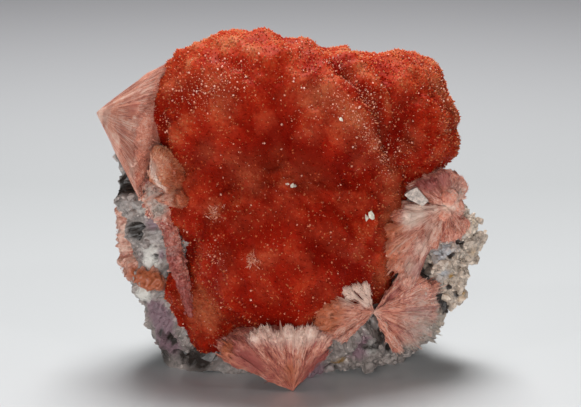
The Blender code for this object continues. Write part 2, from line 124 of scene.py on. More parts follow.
# The matrix is a smooth surface through these points, broken into facets.
MATRIX_CENTRE = (0.0, 6.0, 24.0)
MATRIX_POINTS = (
    # down the left edge
    (-26.7, 2.0, 33.0), (-26.3, 2.0, 29.0), (-25.9, 2.0, 23.0), (-25.7, 1.5, 17.0),
    (-25.1, 1.0, 11.6), (-23.1, 1.0, 7.4), (-20.9, 1.0, 3.8), (-18.4, 2.0, 0.2),
    # the quartz beside and below the crusts
    (-22.5, -3.5, 27.0), (-21.8, -4.5, 20.0), (-19.0, -4.5, 9.0), (-13.0, -6.0, 3.5),
    (0.0, -8.0, 6.0), (8.0, -9.5, 2.8), (13.5, -8.0, 6.5), (20.0, -4.0, 8.0),
    # up the right edge
    (17.0, -3.0, 2.0), (23.4, -1.0, 5.8), (24.0, 0.0, 12.0), (22.5, -4.0, 18.0),
    (24.0, -1.0, 24.0), (24.0, 1.0, 31.0), (17.0, -5.0, 24.0), (17.0, -4.0, 14.0),
    # under the crusts
    (-12.0, 0.0, 42.0), (0.0, 0.0, 45.0), (12.0, 0.0, 42.0), (-14.0, -2.0, 30.0),
    (0.0, -2.0, 34.0), (12.0, -2.0, 32.0), (-12.0, -4.0, 18.0), (0.0, -3.0, 22.0),
    (10.0, -4.0, 22.0), (-4.0, -6.0, 11.0),
    # the broken back
    (-20.0, 11.0, 35.0), (-10.0, 12.5, 44.5), (0.0, 13.0, 43.0), (12.0, 12.5, 40.0),
    (20.5, 9.5, 30.0), (22.5, 9.5, 17.0), (14.0, 12.0, 4.0), (0.0, 13.5, 5.0),
    (-13.0, 12.5, 4.0), (-21.5, 9.5, 14.0), (-22.5, 10.0, 25.0), (0.0, 15.5, 24.0),
    (11.0, 14.5, 24.0), (-11.0, 15.0, 26.0), (0.0, 15.0, 34.0), (0.0, 14.5, 14.0),
    # the top and the underside
    (-9.0, 7.0, 49.0), (5.0, 7.5, 47.5), (-18.0, 6.0, 43.0), (17.0, 8.0, 44.0),
    (-12.0, 6.0, -1.5), (0.0, 6.0, -2.0), (11.0, 6.0, -1.5), (-2.0, -4.0, -1.0),
)
MATRIX_SPREAD = 9.0  # a higher one keeps each point's pull closer to it
ROCK_FACETS = 70
ROCK_LUMPS = ((7.0, 0.55), (3.4, 0.3), (1.7, 0.22), (0.9, 0.12))
LEDGES = ((0.35, 0.2, 1.0), 6.5, 1.5)  # the way across the layers, their thickness and step
# The vugs: place and radius. They are pressed in and darkened as painted shade.
PITS = (
    ((-25.0, -1.0, 30.5), 1.5),
    ((-23.3, -3.0, 23.2), 1.3),
    ((-18.5, -4.0, 6.0), 1.2),
    ((21.5, -4.0, 17.0), 2.0),
    ((16.0, -6.0, 5.0), 1.4),
    ((-6.0, 19.0, 30.0), 2.4),
    ((9.0, 17.0, 19.0), 1.9),
)

# A sheaf is a bundle of fibres from one apex: (apex, aim, facing, half angle across the fan,
# half angle through it, lengths at its counterclockwise edge, middle and clockwise edge).
LEFT_SHEAVES = (
    ((-30.7, 0.0, 41.5), (-18.0, -2.5, 38.6), (-0.2, -1.0, 0.2), 47.0, 40.0, (15.6, 11.3, 15.6)),
)
BOTTOM_SHEAVES = (
    ((0.4, -14.0, -0.2), (-2.0, -12.5, 12.0), (0.1, -1.0, 0.1), 43.0, 25.0, (14.5, 11.6, 9.2)),
)
LOWER_RIGHT_SHEAVES = (
    ((13.3, -9.6, 11.6), (6.2, -12.8, 13.4), (-0.2, -1.0, 0.1), 50.0, 21.0, (7.0, 8.8, 6.0)),
    ((12.9, -9.8, 11.5), (23.0, -4.6, 11.2), (0.35, -1.0, 0.0), 49.0, 22.0, (8.0, 10.8, 8.6)),
)
RIGHT_SHEAVES = (
    ((24.8, -4.6, 27.4), (16.6, -7.6, 23.4), (0.1, -1.0, 0.1), 34.0, 20.0, (12.4, 9.6, 8.0)),
    ((24.6, -4.0, 26.6), (24.0, -3.0, 33.0), (0.3, -1.0, 0.1), 56.0, 24.0, (7.6, 6.6, 4.4)),
    ((24.4, -4.6, 27.6), (25.6, -3.6, 21.0), (0.3, -1.0, 0.0), 44.0, 24.0, (4.8, 5.8, 5.0)),
)
# Bundles that stand out of a spray: its apex, then each bundle's tip, half angle and the tone
# of its end, where pink is the material's own.
BUNDLES = {
    "bottom_spray": ((0.4, -14.2, 0.0), (
        ((-11.2, -15.2, 8.2), 3.0, "pink"), ((-10.6, -16.2, 7.8), 7.0, "orange"),
        ((-8.4, -17.2, 9.4), 8.0, "dark"), ((-6.3, -18.0, 10.8), 6.0, "pale"),
        ((-4.3, -18.5, 11.9), 5.5, "pale"), ((-2.4, -18.7, 11.2), 7.0, "pale"),
        ((-0.4, -18.8, 12.1), 5.5, "pale"), ((1.5, -18.6, 11.3), 7.0, "pale"),
        ((3.4, -18.2, 12.0), 5.5, "pale"), ((5.6, -17.2, 10.6), 7.0, "pale"),
        ((5.6, -15.6, 8.0), 7.0, "dark"),
    )),
    "lower_right_spray": ((13.0, -11.2, 12.1), (
        ((8.0, -16.4, 17.4), 5.0, "pale"), ((9.9, -16.2, 18.0), 4.5, "pale"),
        ((11.4, -15.4, 18.0), 3.5, "pale"), ((5.9, -17.4, 15.5), 8.0, "orange"),
        ((4.5, -17.8, 13.9), 9.0, "orange"), ((4.1, -17.6, 12.2), 9.0, "orange"),
        ((5.3, -16.5, 10.0), 8.0, "pink"), ((7.8, -14.6, 8.4), 4.0, "pale"),
        ((17.9, -9.4, 17.4), 3.0, "pale"), ((20.4, -7.4, 14.6), 7.0, "pale"),
        ((22.4, -6.4, 12.2), 9.0, "pink"), ((23.0, -6.0, 9.4), 9.0, "pink"),
        ((22.4, -6.2, 7.0), 9.0, "pink"), ((19.8, -7.4, 5.8), 9.0, "pink"),
        ((17.2, -8.4, 4.9), 7.0, "pink"), ((23.4, -5.4, 14.8), 7.0, "pink"),
    )),
    "right_spray": ((24.7, -4.8, 27.4), (
        ((17.6, -10.6, 16.0), 6.0, "pale"), ((19.0, -8.4, 16.8), 4.5, "pink"),
        ((15.4, -10.9, 18.6), 7.0, "orange"), ((14.9, -11.6, 21.4), 8.0, "orange"),
        ((14.9, -11.2, 24.2), 9.0, "orange"), ((15.9, -10.2, 26.6), 8.0, "pink"),
        ((18.0, -8.8, 28.3), 4.0, "pale"), ((19.6, -7.0, 31.4), 11.0, "dark"),
        ((21.6, -6.6, 32.2), 12.0, "dark"), ((23.8, -5.0, 33.2), 13.0, "dark"),
        ((25.9, -4.2, 31.2), 14.0, "pink"), ((27.0, -3.8, 29.4), 18.0, "pale"),
        ((27.0, -4.2, 26.2), 20.0, "pink"), ((24.8, -6.0, 23.4), 18.0, "pink"),
        ((21.8, -7.4, 21.6), 12.0, "pink"),
    )),
}
UPPER_TUFT_SHEAVES = (
    ((-22.2, -5.8, 31.8), (-17.8, -10.2, 35.2), (-0.4, -1.0, 0.1), 40.0, 24.0, (6.6, 6.8, 6.4)),
)
LOWER_TUFT_SHEAVES = (
    ((-21.6, -6.6, 29.2), (-16.6, -10.8, 30.2), (-0.4, -1.0, 0.1), 14.0, 16.0, (6.4, 6.9, 6.4)),
)

# Bands of fibres, as smooth paths: (x, y, z, half width, half depth).
SKIRT = (
    (-22.6, -4.2, 31.6, 1.2, 0.6), (-20.9, -6.0, 28.4, 2.0, 0.8), (-19.3, -6.9, 25.6, 1.3, 0.9),
    (-18.5, -7.4, 22.4, 1.0, 0.8), (-17.9, -7.8, 19.4, 1.1, 0.8), (-17.1, -8.2, 16.6, 0.9, 0.8),
    (-16.4, -8.5, 13.4, 0.6, 0.6), (-15.5, -8.7, 10.2, 0.35, 0.4),
)
RIM = (
    (-26.8, 0.4, 25.0, 1.0, 1.2), (-26.3, 0.1, 22.4, 1.5, 1.5), (-26.0, -0.2, 19.4, 1.5, 1.5),
    (-25.5, -0.8, 17.0, 1.7, 1.6), (-24.4, -2.0, 15.7, 1.6, 1.5), (-22.9, -3.4, 15.4, 1.5, 1.4),
    (-21.4, -4.7, 15.1, 1.3, 1.3), (-20.2, -5.6, 14.7, 0.8, 0.9),
)
# Round knobs of fibres: centre and radius.
RIM_BALL = ((-27.1, 0.2, 25.4), 1.1)
SPRAY_BALLS = (((24.9, -5.0, 29.0), 1.5), ((26.2, -4.2, 27.4), 1.2), ((24.0, -5.2, 26.0), 1.0))

# Where the colour or the glints of a piece change: (place, radius, strength).
MAIN_HAZE = (
    ((-10.6, -14.4, 45.6), 2.0, 1.3), ((-11.4, -13.2, 49.2), 2.0, 1.0),
    ((4.4, -13.8, 46.2), 2.6, 1.2), ((8.7, -14.5, 42.4), 1.6, 0.6),
    ((-6.2, -13.9, 33.8), 3.4, 0.6), ((2.5, -14.0, 34.0), 3.0, 0.4),
    ((-19.0, -9.0, 49.5), 3.0, 0.6), ((-16.5, -11.0, 33.5), 2.4, 0.6),
    ((-12.0, -13.0, 38.5), 2.0, 0.5), ((-5.7, -18.9, 22.6), 1.5, 0.6),
    ((-11.6, -12.7, 28.5), 1.8, 0.7), ((15.8, -9.8, 24.9), 3.0, 0.9),
    ((14.8, -9.6, 17.5), 3.0, 0.8), ((-13.0, -9.0, 12.8), 2.6, 1.8),
    ((6.0, -17.0, 10.5), 2.6, 0.4), ((10.5, -14.5, 12.5), 2.4, 0.5),
    ((16.0, -8.5, 31.0), 2.2, 0.7), ((16.2, -9.0, 27.0), 2.2, 0.8),
    ((15.2, -10.0, 21.0), 2.4, 0.8),
    # along the edge of the crevice between the two red crusts
    ((5.6, -12.6, 48.4), 1.4, 0.9), ((7.5, -13.8, 45.8), 1.4, 1.1),
    ((9.2, -14.1, 44.0), 1.3, 1.2), ((10.6, -13.7, 42.4), 1.3, 1.2),
    ((11.9, -12.9, 40.6), 1.3, 1.2), ((13.1, -11.6, 38.9), 1.4, 1.1),
    ((14.4, -10.2, 36.4), 1.4, 1.1), ((15.6, -9.2, 33.9), 1.5, 1.0),
)
# Deep spots, pressed in and darkened as painted shade: the valley between the bulges, seams,
# crevices and recesses
MAIN_DEEP = (
    ((-13.8, -13.3, 36.0), 2.6, 0.8), ((-8.4, -13.0, 37.4), 2.4, 0.7),
    ((-3.1, -12.7, 38.3), 2.8, 1.1), ((2.6, -13.4, 38.0), 2.6, 1.0),
    ((8.3, -14.1, 36.8), 2.4, 0.6),
    # the seam beside the left spray
    ((-20.6, -8.4, 41.8), 2.2, 1.4), ((-20.4, -8.0, 38.6), 1.8, 1.2),
    # down the crevice between the two red crusts
    ((6.8, -8.0, 51.2), 1.6, 1.2), ((9.3, -9.5, 49.3), 1.6, 1.2),
    ((12.0, -11.0, 46.4), 1.6, 1.2), ((14.6, -10.0, 43.1), 1.6, 1.2),
    ((16.1, -9.5, 39.9), 1.6, 1.2), ((16.9, -9.0, 37.4), 1.8, 1.1),
    ((8.2, -8.8, 50.3), 1.4, 0.7), ((10.9, -10.2, 47.9), 1.5, 0.8),
    ((13.6, -10.4, 44.8), 1.5, 0.8), ((15.6, -9.8, 41.5), 1.5, 0.8),
    ((16.6, -9.2, 38.6), 1.5, 0.8), ((17.0, -8.6, 35.2), 1.6, 0.8),
    # the hollows of the lower bulge
    ((-17.5, -9.6, 27.9), 1.4, 1.0), ((4.5, -19.0, 27.0), 5.0, 0.5),
    ((8.0, -17.0, 21.0), 4.0, 0.4), ((-8.0, -17.0, 27.0), 3.0, 0.3),
    ((2.0, -17.0, 9.0), 2.6, 0.6), ((-6.0, -18.0, 12.0), 3.4, 0.4),
    # the recess behind the bow tie of fibres
    ((10.4, -14.6, 14.8), 2.2, 1.2), ((12.6, -12.0, 15.2), 1.6, 1.0),
)
# Where the pale crystals that paint glints stand closest
MAIN_SPARKS = (
    ((-11.4, -13.4, 48.9), 3.0, 5.0), ((-8.4, -12.9, 49.9), 2.4, 4.0),
    ((-13.6, -13.5, 46.9), 2.4, 5.0), ((12.9, -10.9, 45.7), 2.4, 3.0),
    ((10.6, -9.8, 48.6), 2.4, 3.0), ((3.0, -7.4, 53.1), 4.0, 2.5),
    ((-11.9, -15.3, 22.4), 1.8, 5.0), ((-18.0, -11.0, 47.2), 3.0, 3.0),
    ((-20.4, -8.4, 41.0), 1.8, 5.0), ((4.4, -13.8, 46.2), 4.0, 1.5),
    # down the crevice and along its edge
    ((6.8, -8.0, 51.0), 1.5, 5.0), ((9.1, -9.5, 49.3), 1.5, 5.0), ((11.8, -11.0, 46.4), 1.5, 5.0),
    ((14.5, -10.0, 43.1), 1.5, 5.0), ((16.1, -9.5, 39.9), 1.5, 4.0),
    ((7.5, -13.8, 45.8), 1.2, 6.0), ((9.7, -14.0, 43.6), 1.2, 7.0),
    ((11.4, -13.2, 41.2), 1.2, 7.0), ((13.1, -11.6, 38.9), 1.2, 6.0),
    ((14.4, -10.2, 36.4), 1.2, 5.0),
)
# Small painted glints along the crevice's edge: place and strength.
CREVICE_SPARKS = tuple((place, 0.9, strength) for place, strength in (
    ((5.6, -12.4, 48.6), 20.0), ((7.0, -13.4, 46.6), 20.0), ((8.4, -14.0, 44.9), 25.0),
    ((9.9, -13.9, 43.4), 30.0), ((11.0, -13.4, 41.8), 30.0), ((12.0, -12.6, 40.4), 30.0),
    ((13.1, -11.6, 38.9), 30.0), ((14.0, -10.6, 37.2), 30.0), ((14.8, -9.8, 35.5), 25.0),
    ((15.7, -8.9, 33.9), 20.0),
))
# Where the pale crystals that paint glints stand closest on the upper right crust
UPPER_RIGHT_SPARKS = (
    ((16.1, -9.4, 37.5), 3.0, 3.0), ((12.5, -8.0, 43.0), 3.0, 4.0),
    ((21.4, 3.3, 49.4), 4.0, 1.2), ((25.2, -0.4, 43.6), 4.0, 0.8),
)
UPPER_RIGHT_HAZE = (
    ((22.0, 0.0, 48.0), 4.0, 0.5), ((11.0, -7.0, 46.0), 1.5, 0.6), ((24.9, -0.2, 44.4), 1.7, 0.9),
    ((26.3, 0.6, 41.4), 1.7, 0.9), ((27.2, 0.2, 38.0), 1.7, 0.9), ((26.9, -0.6, 34.8), 1.7, 0.8),
    ((22.8, -1.4, 47.2), 1.6, 0.7),
)
# Deep spots of the upper right crust, pressed in and darkened as painted shade
UPPER_RIGHT_DEEP = (
    ((12.6, -7.5, 45.0), 2.8, 1.2), ((15.5, -8.5, 37.0), 3.0, 1.2), ((15.4, -8.0, 40.6), 3.0, 1.2),
)
LOWER_LEFT_HAZE = (((-13.8, -9.1, 12.9), 2.4, 1.8), ((-13.4, -9.5, 10.6), 2.0, 1.8))
# Deep spots of the lower left crust, pressed in and darkened as painted shade
LOWER_LEFT_DEEP = (((-17.7, -8.0, 13.3), 3.0, 0.6),)

# How much lighter or darker than its material a whole spray is, and where its tone changes.
SPRAY_TONES = {
    "bottom_spray": -0.4, "lower_right_spray": -0.15, "right_spray": -0.1, "lower_left_tuft": -0.4,
}
# The dark zones are mauve streaks and dark rock, and in places painted shade.
SPRAY_ZONES = {
    "left_spray": {
        "orange": (
            ((-20.6, -8.5, 41.8), 1.5, 0.7), ((-21.2, -9.0, 38.8), 1.6, 1.0),
            ((-21.4, -9.5, 35.8), 1.6, 0.9), ((-18.6, -6.0, 46.6), 1.8, 0.5),
        ),
        "dark": (
            ((-24.1, -6.3, 43.2), 1.8, 0.6), ((-26.0, -6.0, 39.5), 1.5, 0.5),
            ((-23.0, -10.0, 36.0), 1.5, 0.5), ((-21.0, -7.0, 29.0), 2.4, 0.35),
            ((-19.4, -8.0, 24.6), 2.4, 0.6), ((-18.7, -8.0, 20.0), 3.0, 0.75),
            ((-17.5, -8.6, 15.0), 3.0, 0.85), ((-16.0, -8.8, 11.0), 2.4, 0.9),
        ),
        "pale": (
            ((-23.7, -7.3, 42.0), 0.7, 1.0), ((-27.0, -5.0, 38.5), 1.2, 0.5),
            ((-30.0, -1.5, 41.4), 2.6, 0.6), ((-23.0, -4.0, 46.0), 2.0, 0.4),
            ((-25.0, -8.0, 35.0), 1.5, 0.7), ((-23.4, -8.6, 32.0), 1.6, 0.9),
        ),
        "grey": (
            ((-22.0, -6.0, 30.4), 1.8, 0.7), ((-20.6, -7.2, 27.4), 1.8, 0.9),
            ((-18.6, -8.0, 21.0), 1.4, 0.4),
        ),
    },
    "bottom_spray": {
        "orange": (
            ((0.0, -16.5, 4.4), 1.5, 0.7), ((-9.6, -17.0, 8.6), 1.8, 0.6),
            ((0.1, -15.0, 2.0), 1.2, 0.6),
        ),
        # mauve, and on the lower right painted shade
        "dark": (
            ((-3.1, -15.2, 2.8), 1.1, 0.6), ((-5.4, -16.6, 4.9), 1.6, 0.75),
            ((-7.4, -17.2, 6.8), 1.9, 0.75), ((2.2, -14.6, 2.0), 1.2, 0.7),
            ((3.3, -15.6, 3.9), 1.5, 0.75), ((4.6, -16.2, 6.0), 1.8, 0.75),
        ),
        "pale": (
            ((-5.5, -18.2, 10.9), 1.6, 0.5), ((-2.4, -18.6, 11.2), 1.8, 0.4),
            ((1.0, -18.6, 11.0), 2.4, 0.5), ((3.6, -18.0, 10.9), 1.6, 0.4),
            ((-9.6, -15.2, 6.2), 0.9, 1.2), ((-7.4, -15.0, 4.4), 0.9, 1.2),
            ((-4.6, -14.8, 2.5), 0.8, 1.0),
        ),
    },
    "lower_right_spray": {
        "orange": (
            ((5.4, -15.5, 14.4), 2.6, 1.3), ((4.6, -16.5, 11.5), 2.2, 0.9),
            ((12.5, -11.5, 15.5), 1.5, 0.9), ((20.5, -7.0, 11.8), 1.6, 0.3),
        ),
        "dark": (
            # along the crevice by the pink strip, as painted shade
            ((15.3, -9.3, 13.7), 0.9, 1.2), ((16.7, -8.8, 14.9), 0.8, 1.1),
            ((14.2, -9.8, 12.6), 0.6, 1.0), ((17.0, -8.0, 7.0), 1.6, 0.5),
            ((9.6, -11.0, 8.6), 1.4, 0.5),
        ),
        "pale": (
            ((8.6, -15.6, 16.4), 1.8, 1.1), ((10.8, -14.6, 16.4), 1.8, 1.1),
            ((11.9, -12.8, 14.2), 1.2, 1.1),
            ((7.8, -13.0, 8.5), 1.0, 1.0), ((13.1, -10.5, 11.6), 1.2, 0.7),
            ((19.5, -7.5, 12.5), 2.2, 0.4),
        ),
        "grey": (
            ((24.0, -5.5, 8.0), 3.2, 1.0), ((22.5, -6.0, 5.4), 2.6, 1.0),
            ((24.0, -5.0, 12.0), 2.4, 0.8), ((18.5, -8.0, 5.0), 1.8, 0.6),
            ((20.0, -7.5, 9.5), 4.2, 0.6), ((20.5, -7.5, 14.0), 2.0, 0.4),
        ),
    },
    "right_spray": {
        "orange": (
            ((15.6, -11.0, 25.6), 2.0, 0.5), ((16.0, -9.0, 28.6), 1.8, 0.6),
            ((15.4, -11.0, 21.5), 2.0, 0.5), ((16.0, -10.0, 17.5), 1.4, 0.3),
        ),
        "dark": (
            ((22.0, -6.5, 31.8), 1.8, 0.6), ((24.5, -5.0, 32.6), 1.8, 0.4),
            ((20.0, -7.0, 31.5), 1.4, 0.4),
            ((20.5, -7.5, 22.0), 1.2, 0.6), ((25.0, -5.5, 24.0), 1.6, 0.3),
            ((19.8, -10.0, 18.4), 1.4, 1.1), ((18.2, -11.0, 20.6), 2.2, 0.35),
            ((20.2, -9.0, 24.0), 2.4, 0.35), ((24.6, -6.5, 29.2), 2.0, 0.3),
        ),
        "pale": (
            ((20.0, -7.5, 28.0), 1.0, 0.9), ((22.5, -6.5, 27.6), 0.9, 0.9),
            ((25.2, -4.5, 29.0), 2.0, 0.4), ((19.5, -9.5, 22.0), 1.4, 0.5),
            ((18.4, -9.6, 26.6), 1.8, 1.0), ((20.6, -8.4, 27.0), 1.4, 0.6),
            ((24.7, -5.0, 27.4), 1.2, 0.9), ((22.6, -7.4, 25.0), 1.6, 0.5),
            ((21.0, -8.6, 22.4), 1.7, 0.5), ((18.4, -9.8, 19.6), 1.4, 0.6),
        ),
        "grey": (((26.0, -4.4, 30.4), 2.6, 0.45), ((26.6, -4.4, 26.4), 2.0, 0.35)),
    },
    "upper_left_tuft": {
        "orange": (((-15.8, -11.4, 33.6), 2.8, 1.3), ((-17.2, -10.8, 37.8), 1.8, 1.0)),
        "dark": (),
        "pale": (((-21.0, -9.0, 34.4), 2.6, 0.8), ((-20.0, -9.6, 32.0), 1.6, 0.7)),
    },
    "lower_left_tuft": {
        "orange": (((-15.6, -11.8, 30.4), 1.3, 0.9),),
        "dark": (),
        "pale": (((-19.0, -9.6, 30.2), 2.8, 0.5),),
    },
    "left_rim": {
        "orange": (
            ((-25.0, -2.4, 15.8), 1.6, 0.8), ((-23.2, -4.4, 15.2), 1.8, 1.2),
            ((-21.4, -5.6, 15.2), 1.6, 1.2),
        ),
        "dark": (((-27.3, 0.6, 25.3), 1.4, 0.5),),
        "pale": (((-26.6, -0.6, 22.5), 2.0, 0.6), ((-26.4, -0.8, 19.0), 1.8, 0.5)),
    },
}

# Matrix zones: (place, radius, strength) for each kind of rock.
MATRIX_ZONES = {
    # dark host rock, and painted shade in the vugs and low under the overhang by the floor
    "dark": (
        ((-26.0, -0.6, 30.6), 1.8, 1.7), ((-25.6, -1.0, 28.4), 1.6, 1.7),
        ((-26.2, 0.0, 33.2), 1.3, 1.2), ((-24.5, -2.2, 22.9), 1.3, 1.7),
        ((-23.0, -3.4, 22.8), 0.7, 1.7), ((-22.6, -4.0, 20.8), 0.5, 1.0),
        ((-14.5, -4.9, 2.4), 3.0, 1.0), ((20.3, -5.0, 16.3), 2.2, 1.1),
        # pale rock under the cream knobs: less dark than nought
        ((23.8, -2.0, 12.6), 2.8, -1.5),
        ((15.0, -7.6, 7.2), 2.2, 0.8), ((-21.0, -2.0, 2.0), 2.4, 0.8),
        ((13.2, -8.4, 5.2), 1.2, 0.7), ((-21.0, -4.5, 6.4), 0.9, 0.9),
        ((-19.0, -4.5, 9.8), 0.9, 0.9),
    ),
    "white": (
        ((-22.0, -4.2, 20.4), 1.6, 0.9), ((-22.3, -3.8, 17.6), 1.5, 1.1),
        ((-23.5, -3.1, 12.8), 1.7, 1.2), ((-27.3, 0.6, 33.4), 0.8, 0.9),
        ((12.9, -8.7, 5.2), 1.6, 0.9),
        ((-22.5, -4.0, 27.0), 2.0, 0.6), ((17.5, -6.0, 3.0), 2.0, 0.7),
    ),
    "mauve": (
        ((-20.6, -4.0, 8.5), 2.6, 1.2), ((-19.4, -3.8, 4.2), 2.4, 1.0),
        ((3.1, -7.4, 0.8), 3.4, 1.2), ((10.7, -8.6, 4.6), 2.2, 0.8),
        ((-21.6, -4.4, 24.6), 1.6, 0.9), ((24.0, -1.0, 24.0), 3.0, 0.6),
        ((-21.0, -4.6, 19.5), 1.3, 1.0), ((-23.6, -2.6, 19.0), 1.0, 0.8),
        ((-22.0, -3.4, 10.4), 1.5, 0.9), ((17.0, -6.5, 5.6), 2.6, 0.7),
        ((11.4, -8.8, 6.6), 1.8, 0.7),
    ),
    "ochre": (
        ((7.8, -8.9, 2.6), 1.7, 0.9), ((-25.5, -1.5, 30.6), 0.8, 0.8),
        ((-23.4, -3.4, 23.8), 1.0, 0.45), ((-23.6, -3.2, 26.4), 1.4, 0.3),
        ((25.7, -4.8, 15.5), 1.6, 1.0),
    ),
}
KNOB_ZONES = {
    # painted shade in the knobs' pits and in the vug beside them
    "dark": (
        ((25.6, -4.5, 19.4), 0.7, 1.6), ((23.3, -3.6, 20.9), 0.9, 1.4),
        ((27.8, -3.0, 24.4), 0.5, 1.6), ((25.4, -4.3, 14.0), 0.6, 1.5),
        ((26.8, -2.1, 12.0), 0.6, 1.5), ((20.6, -4.4, 16.4), 1.6, 1.2),
    ),
    "blue": (
        ((23.8, -3.8, 19.6), 1.2, 1.4), ((26.4, -3.6, 21.6), 1.6, 1.4),
        ((24.4, -4.0, 16.6), 1.6, 0.8),
    ),
    "ochre": (
        ((25.7, -4.8, 15.5), 0.9, 1.4), ((28.2, -1.0, 11.7), 1.2, 0.6),
        ((29.5, -1.5, 24.0), 1.2, 0.5), ((29.5, -1.5, 19.0), 1.2, 0.5),
    ),
}
# Holes in the knobs: (place, radius, depth).
KNOB_PITS = (
    ((25.6, -4.5, 19.4), 0.6, 0.9), ((27.8, -3.0, 24.4), 0.45, 0.7),
    ((25.4, -4.3, 14.0), 0.5, 0.8), ((26.8, -2.1, 12.0), 0.5, 0.7),
    ((23.3, -3.6, 20.9), 0.7, 0.8),
)

# Loose white flakes and pale tufts that lie on the main dome: place and size.
FLAKES = (
    ((12.1, -14.2, 28.3), 0.9), ((11.4, -14.6, 28.0), 0.5), ((0.7, -15.0, 33.0), 0.36),
    ((0.2, -15.1, 33.1), 0.4), ((-0.4, -14.9, 33.3), 0.3),
    ((9.9, -15.4, 17.3), 0.6), ((7.5, -14.9, 43.4), 0.34),
)
PALE_TUFTS = (((-11.6, -13.2, 28.5), 1.7), ((-5.7, -19.2, 22.6), 1.6))

# The flat white crystal on the right spray: its corners and thickness.
BLADE_THICKNESS = 0.9
BLADE = (
    (17.7, -8.6, 30.2), (18.6, -8.8, 31.0), (19.6, -8.6, 31.4), (21.5, -8.0, 29.1),
    (20.6, -8.1, 28.3), (18.6, -8.6, 29.4),
)

# The photograph's view: camera height angle, lens, and distance from the point it looks at.
VIEW_ELEVATION = math.radians(14.0)
VIEW_LENS = 120.0
VIEW_SENSOR = 36.0
VIEW_DISTANCE = 310.0
VIEW_TARGET = (0.0, 0.0, 26.7)

# The stage, in metres: the floor's corners, and each lamp's place, size and power in watts. The
# two large ones give the soft light, and the small ones the glints on the crystals.
FLOOR = ((-1.5, -1.0, 0.0), (1.5, -1.0, 0.0), (1.5, 2.5, 0.0), (-1.5, 2.5, 0.0))
LAMPS = (
    ("overhead_softbox", (0.0, 0.14, 0.48), 0.24, 3.0),
    ("front_softbox", (-0.05, -0.58, 0.08), 0.24, 2.05),
    ("glint_left", (-0.3, -0.3, 0.45), 0.03, 0.12),
    ("glint_right", (0.28, -0.34, 0.4), 0.03, 0.12),
)

# Quartz, natural crystal faces: the typical gloss and index.
QUARTZ_FACES = {"Roughness": 0.35, "IOR": 1.55}

# The layout's origin in the frame, from the left spray's tip and the main dome's flat back.
SHIFT = np.array([
    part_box("left_spray")[0][0] / MM - LEFT_SHEAVES[0][0][0],
    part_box("main_dome")[1][1] / MM - MAIN_BACK,
    0.0,
])


def linear(hex_colour):
    """An sRGB hex colour in linear light, with an alpha of one."""
    parts = [int(hex_colour[k : k + 2], 16) / 255.0 for k in (1, 3, 5)]
    return (*(c / 12.92 if c <= 0.04045 else ((c + 0.055) / 1.055) ** 2.4 for c in parts), 1.0)


def size_property(name, description, millimetres):
    """A length that the user can change, given in millimetres."""
    return bpy.props.FloatProperty(
        name=name, description=description, default=millimetres * MM, min=0.0,
        precision=5, unit="LENGTH",
    )


def count_property(name, description, count):
    """A number of things that the user can change."""
    return bpy.props.IntProperty(name=name, description=description, default=count, min=0)


def colour_property(name, description, hex_colour):
    """A colour that the user can change, given as an sRGB hex value."""
    return bpy.props.FloatVectorProperty(
        name=name, description=description, default=linear(hex_colour), size=4,
        subtype="COLOR", min=0.0, max=1.0,
    )


class SpecimenSizes(bpy.types.PropertyGroup):
    """Sizes and numbers of the small crystals."""

    crystal_length: size_property("Crystal length", "Length of a crystal of the red druse", 1.1)
    crystal_width: size_property("Crystal width", "Width of a crystal of the red druse", 0.34)
    main_crystals: count_property("Main dome", "Number of crystals on the main dome", 23000)
    spark: size_property("Glint", "Width of a glinting crystal", 0.28)
    sparks: count_property("Glints", "Number of glinting crystals on the main dome", 2200)
    crevice_sparks: count_property("Crevice glints", "Small glints along the crevice", 650)
    fibre_width: size_property("Fibre width", "Width of a fibre in the sheaves", 0.17)
    grain: size_property("Grain", "Width of a quartz grain on the matrix", 0.7)


